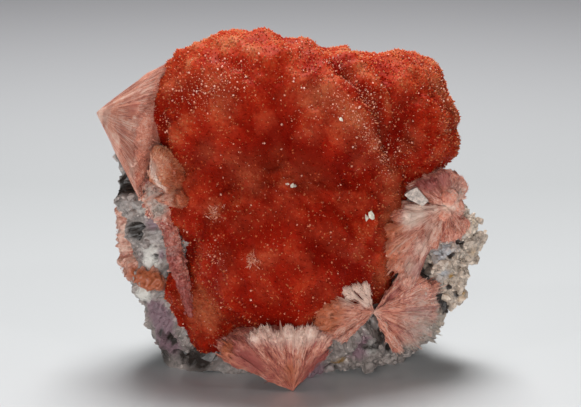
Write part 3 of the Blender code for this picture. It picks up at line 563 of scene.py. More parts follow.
class SpecimenColours(bpy.types.PropertyGroup):
    """Colours of the minerals."""

    # The druse runs from deep red in the painted shade of the hollows to orange red as painted
    # light on the crests
    red_deep: colour_property("Deep red", "Druse in the hollows", "#7C0E05")
    red_mid: colour_property("Red", "Druse on the domes", "#9E1C0C")
    red_bright: colour_property("Orange red", "Druse on the lit crests", "#BA391D")
    red_haze: colour_property("Fuzz", "Tan fuzz over the druse", "#CB724C")
    # Pale crystals whose colour paints glints
    spark_warm: colour_property("Warm spark", "Orange pink glinting crystals", "#E08A66")
    spark: colour_property("Spark", "Pale glinting crystals", "#FBCDBB")
    flake: colour_property("Flakes", "Loose flakes on the main dome", "#DCCBBB")
    fibre_dark: colour_property("Mauve", "Dark streaks in the sheaves", "#A6544C")
    fibre_mid: colour_property("Pink", "Body of the sheaves", "#E3957B")
    fibre_pale: colour_property("Pale pink", "Pale fibres in the sheaves", "#F3D3C2")
    fibre_grey: colour_property("Pinkish grey", "Fibres that fade into quartz", "#B4A69C")
    fibre_orange: colour_property("Orange", "Fibres that grade to orange", "#CC7450")
    blade: colour_property("Blade", "Flat white crystal on the right spray", "#E4D2C6")
    tan_dark: colour_property("Dark tan", "Dark streaks in the tufts", "#B85434")
    tan_mid: colour_property("Tan", "Body of the tufts", "#DA8358")
    tan_pale: colour_property("Pale tan", "Pale fibres in the tufts", "#F0BE9A")
    tan_orange: colour_property("Burnt orange", "Where the tufts meet the druse", "#B04A28")
    rim_mid: colour_property("Rim", "Body of the rim on the left", "#C58B76")
    rim_orange: colour_property("Rim orange", "Lower turn of the rim", "#B3603C")
    quartz_grey: colour_property("Grey quartz", "Body of the matrix", "#A79B95")
    quartz_white: colour_property("White quartz", "Milky quartz", "#DEDAD2")
    quartz_mauve: colour_property("Mauve quartz", "Purple-grey quartz", "#8C7078")
    # Its dark colour also serves as painted shade in the vugs, pits and hollows
    dark_rock_and_shade: colour_property("Host rock", "Dark host rock and vugs", "#2E2520")
    knob_cream: colour_property("Cream quartz", "Knobs on the right", "#D0BDAC")
    knob_blue: colour_property("Blue-grey quartz", "Clearer crystals of the knobs", "#C3C3C6")
    ochre: colour_property("Ochre", "Iron stain", "#A9803E")


def unit(vectors):
    """Each vector over its length."""
    return vectors / np.linalg.norm(vectors, axis=-1, keepdims=True)


def waves(points, length, seed):
    """A smooth random field of unit size: cosines of one wavelength in random directions."""
    terms = 12
    rng = np.random.default_rng(seed)
    ways = unit(rng.normal(size=(terms, 3)))
    phases = rng.uniform(0.0, 2.0 * np.pi, terms)
    turns = points @ ways.T * (2.0 * np.pi / length)
    return np.cos(turns + phases).sum(axis=1) / np.sqrt(terms / 2.0)


def relief(points, lumps, seed):
    """The sum of the waves of each (wavelength, height)."""
    return sum(high * waves(points, length, seed + k) for k, (length, high) in enumerate(lumps))


def spots(points, table):
    """The sum of soft round spots: strength times exp of minus (distance over radius) squared."""
    total = np.zeros(len(points))
    for place, radius, strength in table:
        far = ((points - np.array(place)) ** 2).sum(axis=1)
        total += strength * np.exp(-far / radius**2)
    return total


def even_directions(count, seed, stray):
    """Directions spread evenly round a ball on a golden spiral, each moved by about stray."""
    rng = np.random.default_rng(seed)
    k = np.arange(count) + 0.5
    height = 1.0 - 2.0 * k / count
    turn = k * np.pi * (3.0 - np.sqrt(5.0))
    level = np.sqrt(1.0 - height**2)
    spiral = np.stack([level * np.cos(turn), level * np.sin(turn), height], axis=1)
    return unit(spiral + rng.normal(scale=stray, size=spiral.shape))


def ball_reach(directions, start, balls, back, sharpness=14.0):
    """How far rays from start go before they leave the last ball or meet the plane y = back.

    Where a ray leaves several balls, the distances are merged in a soft maximum: the sum of
    their powers of sharpness, and then that root. A higher sharpness has tighter valleys.
    """
    total = np.zeros(len(directions))
    for x, y, z, radius in balls:
        offset = np.array([x, y, z]) - start
        along = directions @ offset
        inside = along**2 - offset @ offset + radius**2
        out = np.where(inside > 0.0, along + np.sqrt(np.maximum(inside, 0.0)), 0.0)
        total += np.maximum(out, 0.0) ** sharpness
    reach = total ** (1.0 / sharpness)
    plane = (back - start[1]) / np.maximum(directions[:, 1], 1e-3)
    return np.where(directions[:, 1] > 0.0, np.minimum(reach, plane), reach)


def facet_factor(directions, count, seed):
    """A ball with flat faces: the nearest of its face planes along each direction."""
    faces = even_directions(count, seed, stray=0.12)
    rng = np.random.default_rng(seed + 1)
    distance = rng.uniform(0.95, 1.02, count)
    return (distance / np.maximum(directions @ faces.T, 0.2)).min(axis=1)


class Shape:
    """Places in layout millimetres, triangles between them, and values kept at the places.

    finish is each triangle's material and smooth its shading. The triangles of a closed shape
    are turned to face outwards, which its signed volume tells.
    """

    def __init__(self, places, faces, finish=0, smooth=True, values=None):
        corners = [places[faces[:, k]] for k in range(3)]
        volume = np.einsum("ij,ij->", corners[0], np.cross(corners[1], corners[2]))
        self.places = places
        self.faces = faces if volume > 0.0 else faces[:, ::-1]
        self.finish = np.full(len(faces), finish, dtype=np.int32)
        self.smooth = np.full(len(faces), smooth, dtype=bool)
        self.values = values or {}


def join(shapes):
    """All shapes as one. A value that a shape lacks is nought there."""
    starts = np.cumsum([0, *(len(shape.places) for shape in shapes)])
    sizes = {name: held.shape[1:] for shape in shapes for name, held in shape.values.items()}
    whole = Shape(
        np.vstack([shape.places for shape in shapes]),
        np.vstack([shape.faces + start for shape, start in zip(shapes, starts)]),
    )
    whole.finish = np.concatenate([shape.finish for shape in shapes])
    whole.smooth = np.concatenate([shape.smooth for shape in shapes])
    whole.values = {
        name: np.concatenate([
            shape.values.get(name, np.zeros((len(shape.places), *size))) for shape in shapes
        ])
        for name, size in sizes.items()
    }
    return whole


def ball_grid(cells):
    """Directions spread evenly on a ball, and the triangles between them.

    Each face of a cube is a grid of two parameters. Its corner (a, b) lies along
    (1, tan a, tan b), with a and b from minus to plus an eighth of a turn.
    """
    steps = np.arange(cells + 1)
    a, b = (grid.ravel() for grid in np.meshgrid(steps, steps, indexing="ij"))
    i, j = (grid.ravel() for grid in np.meshgrid(steps[:-1], steps[:-1], indexing="ij"))
    first = i * (cells + 1) + j
    quad = np.stack([first, first + cells + 1, first + cells + 2, first + 1], axis=1)
    corners, quads = [], []
    for axis in range(3):
        for end in (0, cells):
            side = np.empty((len(a), 3), int)
            side[:, axis] = end
            side[:, (axis + 1) % 3] = a
            side[:, (axis + 2) % 3] = b
            quads.append((quad if end else quad[:, ::-1]) + len(a) * len(corners))
            corners.append(side)
    lattice, number = np.unique(np.vstack(corners), axis=0, return_inverse=True)
    quads = number.ravel()[np.vstack(quads)]
    directions = unit(np.tan((lattice * 2.0 / cells - 1.0) * np.pi / 4.0))
    return directions, np.vstack([quads[:, [0, 1, 2]], quads[:, [0, 2, 3]]])


def evened(values, faces, rounds):
    """Each value moved to the mean of its neighbours', again and again."""
    ends = np.vstack([faces[:, [0, 1]], faces[:, [1, 2]], faces[:, [2, 0]]])
    number = np.bincount(ends.ravel(), minlength=len(values))
    for _ in range(rounds):
        total = np.bincount(ends[:, 0], values[ends[:, 1]], len(values))
        total += np.bincount(ends[:, 1], values[ends[:, 0]], len(values))
        values = total / number
    return values


def point_ways(places, faces):
    """The outward direction at each place: the mean of its triangles', by area."""
    a, b, c = (places[faces[:, k]] for k in range(3))
    cross = np.cross(b - a, c - a)
    total = np.zeros_like(places)
    for k in range(3):
        for axis in range(3):
            total[:, axis] += np.bincount(faces[:, k], cross[:, axis], len(places))
    return unit(total + 1e-12)


def scatter(shape, count, seed, weight=None):
    """Random places on a shape, as many on each triangle as its area times its weight asks.

    Returns the places, the outward directions there, and a function that reads the shape's
    values at them. The triangles are taken in their own order, which keeps the places even.
    """
    a, b, c = (shape.places[shape.faces[:, k]] for k in range(3))
    cross = np.cross(b - a, c - a)
    share = np.linalg.norm(cross, axis=1)
    if weight is not None:
        share = share * weight[shape.faces].mean(axis=1)
    rng = np.random.default_rng(seed)
    steps = np.cumsum(share) / share.sum()
    pick = np.searchsorted(steps, (np.arange(count) + rng.random(count)) / count)
    pick = np.minimum(pick, len(steps) - 1)
    s, t = np.sqrt(rng.random(count)), rng.random(count)
    mix = np.stack([1.0 - s, s * (1.0 - t), s * t], axis=1)

    def at(values):
        held = values[shape.faces[pick]]
        return np.einsum("ij,ij...->i...", mix, held)

    return at(shape.places), unit(cross[pick]), at


def loft_faces(levels, sides):
    """Triangles of a body with a first point, levels of rings with sides places, a last point."""
    k = np.arange(sides)
    after = (k + 1) % sides
    last = 1 + (levels - 1) * sides
    parts = [
        np.stack([0 * k, 1 + after, 1 + k], axis=1),
        np.stack([0 * k + 1 + levels * sides, last + k, last + after], axis=1),
    ]
    for level in range(levels - 1):
        low, high = 1 + level * sides, 1 + (level + 1) * sides
        parts.append(np.stack([low + k, low + after, high + after], axis=1))
        parts.append(np.stack([low + k, high + after, high + k], axis=1))
    return np.vstack(parts)


def lofted(first, rings, last, **settings):
    """A closed body: a first point, an array of rings of places, and a last point."""
    places = np.vstack([first, rings.reshape(-1, 3), last])
    return Shape(places, loft_faces(len(rings), rings.shape[1]), **settings)


def needles(
    roots, tips, widths, profile, sides, seed, flat=1.0, facing=None, values=None, **settings
):
    """Crystals, each from a point at its root to a point at its tip.

    Between them are rings at each (share of the length, share of the width) of the profile, on
    an oval whose second half axis, the one along facing, is flat times its first. A value is
    one amount for a crystal, or a pair of amounts at the root and at the tip, and then it
    changes evenly between them.
    """
    rng = np.random.default_rng(seed)
    count = len(roots)
    long = tips - roots
    way = unit(long)
    side = unit(np.cross(way, rng.normal(size=(count, 3)) if facing is None else facing))
    front = np.cross(way, side)
    turn = np.arange(sides) * 2.0 * np.pi / sides
    rows = [roots[:, None, :]]
    shares = [0.0]
    for share, wide in profile:
        oval = np.cos(turn)[None, :, None] * side[:, None, :]
        oval = oval + flat * np.sin(turn)[None, :, None] * front[:, None, :]
        middle = roots + long * share
        rows.append(middle[:, None, :] + 0.5 * (widths * wide)[:, None, None] * oval)
        shares += [share] * sides
    rows.append(tips[:, None, :])
    shares = np.array([*shares, 1.0])
    places = np.concatenate(rows, axis=1)
    each = places.shape[1]
    faces = loft_faces(len(profile), sides)[None, :, :] + np.arange(count)[:, None, None] * each
    held = {"tip": np.tile(shares, count), "chance": np.repeat(rng.random(count), each)}
    for name, amount in (values or {}).items():
        low, high = amount if isinstance(amount, tuple) else (amount, amount)
        if low.ndim == 2:
            along = low[:, None, :] + (high - low)[:, None, :] * shares[:, None]
            held[name] = along.reshape(-1, low.shape[1])
        else:
            held[name] = (low[:, None] + (high - low)[:, None] * shares).ravel()
    settings.setdefault("smooth", False)
    return Shape(places.reshape(-1, 3), faces.reshape(-1, 3), values=held, **settings)


# A ball of twenty triangles: its twelve corners are those of three golden rectangles.
GOLDEN = (1.0 + 5.0**0.5) / 2.0
ICO_CORNERS = unit(np.array([
    (-1.0, GOLDEN, 0.0), (1.0, GOLDEN, 0.0), (-1.0, -GOLDEN, 0.0), (1.0, -GOLDEN, 0.0),
    (0.0, -1.0, GOLDEN), (0.0, 1.0, GOLDEN), (0.0, -1.0, -GOLDEN), (0.0, 1.0, -GOLDEN),
    (GOLDEN, 0.0, -1.0), (GOLDEN, 0.0, 1.0), (-GOLDEN, 0.0, -1.0), (-GOLDEN, 0.0, 1.0),
]))
ICO_FACES = np.array([
    (0, 11, 5), (0, 5, 1), (0, 1, 7), (0, 7, 10), (0, 10, 11), (1, 5, 9), (5, 11, 4),
    (11, 10, 2), (10, 7, 6), (7, 1, 8), (3, 9, 4), (3, 4, 2), (3, 2, 6), (3, 6, 8), (3, 8, 9),
    (4, 9, 5), (2, 4, 11), (6, 2, 10), (8, 6, 7), (9, 8, 1),
])


def grains(places, ways, sizes, seed, flat=0.7, values=None, **settings):
    """Broken grains: twenty-sided balls with uneven corners, pressed flat along their ways."""
    rng = np.random.default_rng(seed)
    count, corners = len(places), len(ICO_CORNERS)
    side = unit(np.cross(ways, rng.normal(size=(count, 3))))
    front = np.cross(ways, side)
    uneven = rng.uniform(0.6, 1.25, (count, corners, 1))
    stretch = rng.uniform(0.7, 1.3, (count, 1, 3)) * np.array([1.0, 1.0, flat])
    local = ICO_CORNERS[None, :, :] * uneven * stretch * 0.5 * sizes[:, None, None]
    placed = places[:, None, :] + (
        local[..., :1] * side[:, None] + local[..., 1:2] * front[:, None]
        + local[..., 2:] * ways[:, None]
    )
    faces = ICO_FACES[None] + np.arange(count)[:, None, None] * corners
    held = {"chance": np.repeat(rng.random(count), corners)}
    for name, amount in (values or {}).items():
        held[name] = np.repeat(amount, corners, axis=0)
    return Shape(
        placed.reshape(-1, 3), faces.reshape(-1, 3), smooth=False, values=held, **settings
    )


def plate(corners, thickness, **settings):
    """A flat crystal: a polygon of corners and the same one pushed back, closed by its sides."""
    front = np.array(corners)
    back = front + np.array([0.0, thickness, 0.0])
    return lofted(front.mean(axis=0), np.stack([front, back]), back.mean(axis=0), **settings)


def jittered(ways, amount, seed):
    """Directions, each turned a little at random."""
    rng = np.random.default_rng(seed)
    return unit(ways + rng.normal(scale=amount, size=ways.shape))


def nearest_centre(places, balls):
    """For each place the centre of the ball whose surface is nearest to it."""
    held = np.array(balls)
    far = np.linalg.norm(places[:, None, :] - held[None, :, :3], axis=2) - held[:, 3]
    return held[np.abs(far).argmin(axis=1), :3]


def nearest(places, centres):
    """For each place the number of the nearest centre and the distance to it."""
    square = (places**2).sum(axis=1)[:, None] + (centres**2).sum(axis=1) - 2.0 * places @ centres.T
    pick = square.argmin(axis=1)
    return pick, np.sqrt(np.maximum(square[np.arange(len(places)), pick], 0.0))


def crust(cells, centre, balls, back, seed, haze, deep, sink, caps):
    """A crust's base: merged balls, with rounded lumps in front and broken relief behind.

    Each lump is a cap of height 1 minus (distance over radius) squared round a scattered
    centre, and the deep spots are pressed in. The front lies lower by sink, to leave room for
    the crystals. light mixes painted light and shade with the red's own tone: it goes from about
    0 in the hollows and deep spots, as painted shade, to 1 on caps and crests that face upwards,
    as painted light, where a hollow is where the surface lies under its own average, and each
    lump has a shade of its own. fuzz is how much tan fuzz lies over a place: the haze spots, soft
    patches and the whole back. base.centres are points under the lumps, from which the crystals
    spread.
    """
    count, radius, high = caps
    directions, faces = ball_grid(cells)
    start = np.array(centre)
    reach = ball_reach(directions, start, balls, back)
    smooth_places = start + directions * reach[:, None]
    front = (directions[:, 1] * reach < (back - start[1]) * 0.97) * 1.0
    tops, ways, _ = scatter(Shape(smooth_places, faces), count, seed + 40, front)
    lump, far = nearest(smooth_places, tops)
    cap = np.clip(1.0 - (far / radius) ** 2, -0.6, 1.0)
    own = np.random.default_rng(seed + 41).random(count)[lump]
    pressed = 0.8 * np.clip(spots(smooth_places, deep), 0.0, 1.2)
    bumps = front * (relief(smooth_places, DRUSE_LUMPS, seed) + high * cap - pressed)
    bumps += (1.0 - front) * (relief(smooth_places, BACK_LUMPS, seed + 60) - 0.6)
    average = evened(reach, faces, rounds=60)
    height = np.clip((reach + bumps - average) / 1.3, -1.0, 1.0)
    up = point_ways(smooth_places, faces)[:, 2]
    places = start + directions * (reach + bumps - front * sink)[:, None]
    # painted light and shade: lighter where the surface faces up, on crests and on caps, and
    # darker in the hollows and deep spots
    light = 0.37 + 0.17 * up + 0.16 * height + 0.08 * cap - 0.3 * spots(places, deep)
    light += 0.2 * (1.0 - front)
    light += 0.06 * waves(places, 5.0, seed + 20) + 0.15 * (own - 0.5)
    patches = 0.6 * spots(places, haze) + 0.12 * np.clip(waves(places, 6.0, seed + 30), 0.0, 1.0)
    patches = (patches + 0.15 * (own > 0.86)) * (0.8 + 0.3 * cap)
    fuzz = np.clip(patches + 0.5 * (1.0 - front), 0.0, 1.0)
    halves = np.full(len(places), 0.5)
    values = {"light": light, "fuzz": fuzz, "front": front, "tip": halves, "chance": halves}
    base = Shape(places, faces, values=values)
    base.centres = tops - ways * (1.2 * radius)
    return base


def druse(base, balls, count, length, width, seed):
    """Needle crystals that stand on a crust and spread from its balls and its lumps.

    A needle's way is the sum of the ways out of its ball and its lump and of the surface's own.
    About one in six is much lighter than the rest, and fuzz makes needles longer and thinner.
    """
    places, ways, at = scatter(base, count, seed, 0.15 + 0.85 * base.values["front"])
    rng = np.random.default_rng(seed + 1)
    from_ball = unit(places - nearest_centre(places, balls))
    from_lump = unit(places - base.centres[nearest(places, base.centres)[0]])
    ways = jittered(unit(from_ball + from_lump + 0.4 * ways), 0.14, seed + 2)
    # each needle takes the crust's light, with its painted light and shade
    light, fuzz = at(base.values["light"]), at(base.values["fuzz"])
    light = light + np.where(rng.random(count) < 0.16, 0.55, 0.0)
    out = length * (0.09 + 0.25 * rng.random(count) ** 1.5) * (1.0 + 0.6 * fuzz)
    roots = places - ways * (0.4 * length)
    tips = places + ways * out[:, None]
    widths = width * rng.uniform(0.6, 1.4, count) * (1.0 - 0.3 * fuzz)
    return needles(
        roots, tips, widths, profile=((0.55, 1.0),), sides=3, seed=seed + 3,
        values={"light": light, "fuzz": fuzz}, smooth=True,
    )


def sparks(base, count, size, table, seed):
    """Pale stout crystals that catch the light, their pale colour a painted glint, most of them
    small.

    They stand at random angles, closest together in the table's spots.
    """
    weight = base.values["front"] * (0.2 + spots(base.places, table))
    places, ways, _ = scatter(base, count, seed, weight)
    rng = np.random.default_rng(seed + 1)
    ways = jittered(ways, 0.5, seed + 2)
    scale = size * (0.35 + 1.2 * rng.random(count) ** 5)
    roots = places + ways * 0.05
    tips = places + ways * (0.26 + 0.6 * scale)[:, None]
    return needles(
        roots, tips, scale, profile=((0.6, 1.0),), sides=4, seed=seed + 3, finish=1,
    )


def sheaf_place(sheaf, u, v, share, bulge=0.0):
    """The place in a sheaf at (u, v) across it and at a share of its length.

    From the apex it lies along axis + tan(half wide) u across + tan(half deep) v outward. The
    length is the parabola over u through the three lengths. The bulge widens the sheaf on its
    counterclockwise side and rounds off its apex.
    """
    apex, aim, facing, half_wide, half_deep, (low, middle, high) = sheaf
    apex = np.array(apex)
    axis = unit(np.array(aim) - apex)
    across = unit(np.cross(axis, np.array(facing)))
    outward = np.cross(across, axis)
    u, v, share = np.broadcast_arrays(u, v, share)
    swell = 1.0 + bulge * ((1.0 - share) * np.clip(-u, 0.0, 1.0) + 2.4 * np.exp(-share / 0.06))
    ways = unit(
        axis
        + (math.tan(math.radians(half_wide)) * u * swell)[..., None] * across
        + (math.tan(math.radians(half_deep)) * v * swell)[..., None] * outward
    )
    length = middle + 0.5 * (high - low) * u + (0.5 * (high + low) - middle) * u**2
    return apex + ways * (share * length)[..., None]


def sheaf_grain(sheaf, u, v):
    """A vector in millimetres across the fibres at (u, v), for streaks that follow them."""
    wide = math.tan(math.radians(sheaf[3])) * sheaf[5][1]
    deep = math.tan(math.radians(sheaf[4])) * sheaf[5][1]
    return np.stack([u * wide, v * deep], axis=-1)


def series(turn, terms, seed):
    """A random closed curve: a cosine for each (waves round it, height), with random starts."""
    rng = np.random.default_rng(seed)
    starts = rng.uniform(0.0, 2.0 * np.pi, len(terms))
    return sum(high * np.cos(n * turn + start) for (n, high), start in zip(terms, starts))


def sheaf_body(sheaf, seed, columns=150, rows=26, bulge=0.0, tone=0.0):
    """The sheaf's closed body: ridged sides from the apex out, then a rounded, jagged end.

    Its values are reach, the share of the sheaf's length, fibre, the place across the fibres in
    millimetres with a slow change along them, which makes long streaks, and its tone.
    """
    turn = np.arange(columns) * 2.0 * np.pi / columns
    ridge = series(turn, RIDGES, seed)
    jag = series(turn, JAGS, seed + 1)
    bend = np.linspace(0.0, 1.45, 9)
    shares = np.concatenate([np.linspace(0.02, 0.9, rows), 0.9 + 0.085 * np.sin(bend)])
    sizes = np.concatenate([np.ones(rows), 0.25 + 0.75 * np.cos(bend)])
    sizes[-1] = 0.12
    swell = sizes[:, None] * (1.0 + ridge * shares[:, None])
    u, v = swell * np.cos(turn), swell * np.sin(turn)
    share = shares[:, None] * (1.0 + jag * sizes[:, None] ** 4)
    rings = sheaf_place(sheaf, u, v, share, bulge)
    first, last = sheaf_place(sheaf, np.zeros(2), np.zeros(2), np.array([0.0, 0.99]), bulge)
    grain = sheaf_grain(sheaf, u, v).reshape(-1, 2)
    reach = np.concatenate([[0.0], np.broadcast_to(shares[:, None], u.shape).ravel(), [1.0]])
    across = np.vstack([grain[:1] * 0.0, grain, grain[:1] * 0.0])
    fibre = np.column_stack([across, reach * sheaf[5][1] * 0.05])
    values = {
        "fibre": fibre, "reach": reach, "tone": np.full(len(fibre), tone),
        "chance": np.full(len(fibre), 0.5),
    }
    return lofted(first, rings, last, values=values)


def sheaf_fibres(sheaf, count, width, seed, bulge=0.0, spill=0.06, tone=0.0):
    """Fibres in bundles: two thirds lie on the sheaf's outward side, the rest on its end.

    The fibres of a bundle share a place across the sheaf and a length, within a little.
    """
    rng = np.random.default_rng(seed)
    bundles = max(count // FIBRES_IN_BUNDLE, 1)
    pick = rng.integers(0, bundles, count)
    turn = rng.uniform(-0.45, np.pi + 0.45, bundles)[pick] + rng.normal(scale=0.05, size=count)
    size = rng.uniform(0.99, 1.012, count)
    end = 0.98 + spill * (rng.random(bundles)[pick] - 0.35) + 0.3 * spill * rng.random(count)
    begin = rng.beta(1.2, 1.6, count) * 0.76 + 0.09
    stop = np.minimum(begin + rng.uniform(0.3, 0.8, count), end)
    inner = pick < bundles // 3
    disc = np.sqrt(rng.uniform(0.3, 1.0, bundles))[pick] + rng.normal(scale=0.03, size=count)
    size = np.where(inner, np.abs(disc), size)
    begin = np.where(inner, 0.8, begin)
    stop = np.where(inner, end, stop)
    u, v = size * np.cos(turn), size * np.sin(turn)
    stray = rng.normal(scale=0.016, size=(2, count))
    roots = sheaf_place(sheaf, u, v, begin, bulge)
    tips = sheaf_place(sheaf, u + stray[0], v + stray[1], stop, bulge)
    widths = width * rng.uniform(0.6, 1.2, count) * (0.25 + 0.75 * stop)
    grain = sheaf_grain(sheaf, u, v)
    low = np.column_stack([grain, begin])
    high = np.column_stack([grain, stop])
    axis = unit(np.array(sheaf[1]) - np.array(sheaf[0]))
    outward = roots - np.array(sheaf[0])
    outward = outward - (outward @ axis)[:, None] * axis + 1e-6
    return needles(
        roots, tips, widths, profile=((0.6, 1.0),), sides=3, seed=seed + 1,
        flat=0.45, facing=outward,
        values={"reach": (begin, stop), "fibre": (low, high), "tone": np.full(count, tone)},
    )


def end_fuzz(body, apex, count, length, width, seed):
    """Short needles on a sheaf's end, away from its apex."""
    weight = (body.values["reach"] > END_START) * 1.0
    places, ways, at = scatter(body, count, seed, weight)
    rng = np.random.default_rng(seed + 1)
    ways = jittered(unit(places - np.array(apex)) + 0.3 * ways, 0.16, seed + 2)
    out = length * rng.uniform(0.2, 1.0, count)
    return needles(
        places - ways * 0.4, places + ways * out[:, None], width * rng.uniform(0.6, 1.3, count),
        profile=((0.5, 1.0),), sides=3, seed=seed + 3,
        values={
            "reach": (np.full(count, 0.9), np.ones(count)),
            "fibre": at(body.values["fibre"]), "tone": at(body.values["tone"]),
        },
    )


def roughened(shape, lumps, seed):
    """The shape with the waves of each (wavelength, height) added outwards, less at its apex."""
    high = relief(shape.places, lumps, seed) * np.clip(3.0 * shape.values["reach"], 0.0, 1.0)
    shape.places = shape.places + point_ways(shape.places, shape.faces) * high[:, None]
    return shape


def matted(body, apex, count, length, width, seed, swirl=(0.0, 0.0, 0.0)):
    """Short fibres that lie on a body's front, away from its apex, turned towards swirl."""
    front = np.clip(0.3 - point_ways(body.places, body.faces)[:, 1], 0.0, 1.0)
    places, ways, at = scatter(body, count, seed, front * (body.values["reach"] > 0.12))
    rng = np.random.default_rng(seed + 1)
    along = unit(places - np.array(apex)) + np.array(swirl)
    along = jittered(unit(along - ways * (along * ways).sum(axis=1)[:, None]), 0.22, seed + 2)
    half = 0.5 * length * rng.uniform(0.4, 1.0, count)[:, None]
    fibre, reach, tone = (at(body.values[name]) for name in ("fibre", "reach", "tone"))
    shade = tone + 0.12 * rng.normal(size=count)
    return needles(
        places - along * half - ways * 0.08, places + along * half + ways * 0.05,
        1.4 * width * rng.uniform(0.5, 1.2, count),
        profile=((0.5, 1.0),), sides=3, seed=seed + 3, flat=0.4, facing=ways,
        values={"reach": reach, "fibre": fibre, "tone": shade},
    )


def smooth_path(points, steps):
    """A curve through all the points (Catmull-Rom), with steps places on each stretch."""
    points = np.array(points)
    ends = [2 * points[0] - points[1], *points, 2 * points[-1] - points[-2]]
    t = (np.arange(steps) / steps)[:, None]
    places = [
        0.5 * (2 * b + (c - a) * t + (2 * a - 5 * b + 4 * c - d) * t**2
               + (3 * b - a - 3 * c + d) * t**3)
        for a, b, c, d in zip(ends, ends[1:], ends[2:], ends[3:])
    ]
    return np.vstack([*places, points[-1]])


def band_frame(points, steps):
    """Places along a band's path, its half widths and depths, and its side and front ways."""
    path = smooth_path(points, steps)
    places, wide, deep = path[:, :3], path[:, 3], path[:, 4]
    along = unit(np.gradient(places, axis=0))
    side = unit(np.cross(along, np.array([0.0, 1.0, 0.0])))
    return places, wide, deep, side, np.cross(along, side)


def band_body(points, lumps, stripes, seed):
    """A tube of ovals along a path, with lumps, and striped across by (wavelength, height).

    Its fibre value changes along the band and hardly round it, so the streaks cross it.
    """
    places, wide, deep, side, front = band_frame(points, 14)
    turn = np.linspace(0.0, 2.0 * np.pi, 40, endpoint=False)
    oval = (
        np.cos(turn)[None, :, None] * (side * wide[:, None])[:, None, :]
        + np.sin(turn)[None, :, None] * (front * deep[:, None])[:, None, :]
    )
    even = (places[1:-1, None, :] + oval[1:-1]).reshape(-1, 3)
    travel = np.concatenate([[0.0], np.cumsum(np.linalg.norm(np.diff(places, axis=0), axis=1))])
    mark = np.repeat(travel[1:-1], len(turn))
    line = np.column_stack([mark, 0.0 * mark, 0.0 * mark])
    lifted = 1.0 + relief(even, lumps, seed) + relief(line, stripes, seed + 5)
    middle = np.repeat(places[1:-1], len(turn), axis=0)
    rings = (middle + (even - middle) * lifted[:, None]).reshape(-1, len(turn), 3)
    spin = np.tile(np.sin(turn), len(places) - 2)
    quarter = len(turn) // 4
    fibre = np.column_stack([mark, 0.15 * spin, 0.15 * np.roll(spin, quarter)])
    fibre = np.vstack([fibre[:1], fibre, fibre[-1:]])
    halves = np.full(len(fibre), 0.5)
    values = {"fibre": fibre, "reach": halves, "chance": halves}
    return lofted(places[0], rings, places[-1], values=values)


def band_fibres(points, count, length, width, seed, lean):
    """Short fibres that stand on a band and lean along it: 0 is upright and 1 lies flat."""
    places, wide, deep, side, front = band_frame(points, 40)
    along = unit(np.gradient(places, axis=0))
    rng = np.random.default_rng(seed)
    k = rng.integers(3, len(places) - 3, count)
    turn = rng.uniform(0.0, 2.0 * np.pi, count)
    out = np.cos(turn)[:, None] * side[k] + np.sin(turn)[:, None] * front[k]
    spread = 1.0 + lean * 0.45 * rng.random(count)
    on = places[k] + (np.cos(turn) * wide[k] * spread)[:, None] * side[k]
    on = on + (np.sin(turn) * deep[k])[:, None] * front[k]
    ways = jittered(unit(out * (1.0 - lean) + along[k] * lean), 0.25, seed + 1)
    long = length * rng.uniform(0.5, 1.0, count)
    roots = on - ways * (0.4 * long)[:, None] - out * 0.1
    tips = on + ways * (0.6 * long)[:, None]
    widths = width * rng.uniform(0.6, 1.3, count)
    low = np.column_stack([on[:, :2], np.zeros(count)])
    return needles(
        roots, tips, widths, profile=((0.5, 1.0),), sides=3, seed=seed + 2,
        values={"reach": np.full(count, 0.5), "fibre": (low, low + [0.0, 0.0, 0.1])},
    )


def crystals(base, count, size, seed, weight, values, tilt=0.45):
    """Six-sided quartz points on a body, with flat sides and a short pyramid at the tip."""
    places, ways, at = scatter(base, count, seed, weight)
    ways = jittered(ways, tilt, seed + 1)
    rng = np.random.default_rng(seed + 2)
    wide = size * (0.35 + 0.9 * rng.random(count) ** 2)
    long = wide * rng.uniform(0.15, 0.6, count)
    return needles(
        places - ways * (0.7 * wide)[:, None], places + ways * long[:, None], wide,
        profile=((0.02, 1.0), (0.6, 1.0)), sides=6, seed=seed + 3, flat=0.7,
        values={zone: at(held) for zone, held in values.items()},
    )


def rock_grains(base, count, width, shares, seeds, values, weight=None):
    """Grains scattered on rock with its zone values, most of them small.

    A grain is width times (the first of the shares plus the second times a random square) wide.
    The seeds are for the places and for the grains' forms.
    """
    spread, ways, at = scatter(base, count, seeds[0], weight)
    chance = np.random.default_rng(98).random(count)
    return grains(
        spread, ways, width * (shares[0] + shares[1] * chance**2), seeds[1],
        values={zone: at(held) for zone, held in values.items()},
    )


def matrix_radius(directions):
    """The radius of the matrix along each direction.

    A smooth fit through MATRIX_POINTS is the mean of their radii plus a bump towards each,
    exp(spread times (cosine of the angle to it minus 1)). It is broken into flat faces, covered
    in lumps, and stepped into ledges on its back.
    """
    start = np.array(MATRIX_CENTRE)
    offsets = np.array(MATRIX_POINTS) - start
    reaches = np.linalg.norm(offsets, axis=1)
    ways = offsets / reaches[:, None]
    pull = np.exp(MATRIX_SPREAD * (ways @ ways.T - 1.0))
    shares = np.linalg.solve(pull, reaches - reaches.mean())
    radius = reaches.mean() + np.exp(MATRIX_SPREAD * (directions @ ways.T - 1.0)) @ shares
    radius = radius * facet_factor(directions, ROCK_FACETS, seed=5)
    points = start + directions * radius[:, None]
    radius = radius + relief(points, ROCK_LUMPS, seed=60)
    across, thick, step = LEDGES
    layer = points @ unit(np.array(across)) / thick
    return radius + step * (layer - np.floor(layer) - 0.5) * (directions[:, 1] > 0.2)


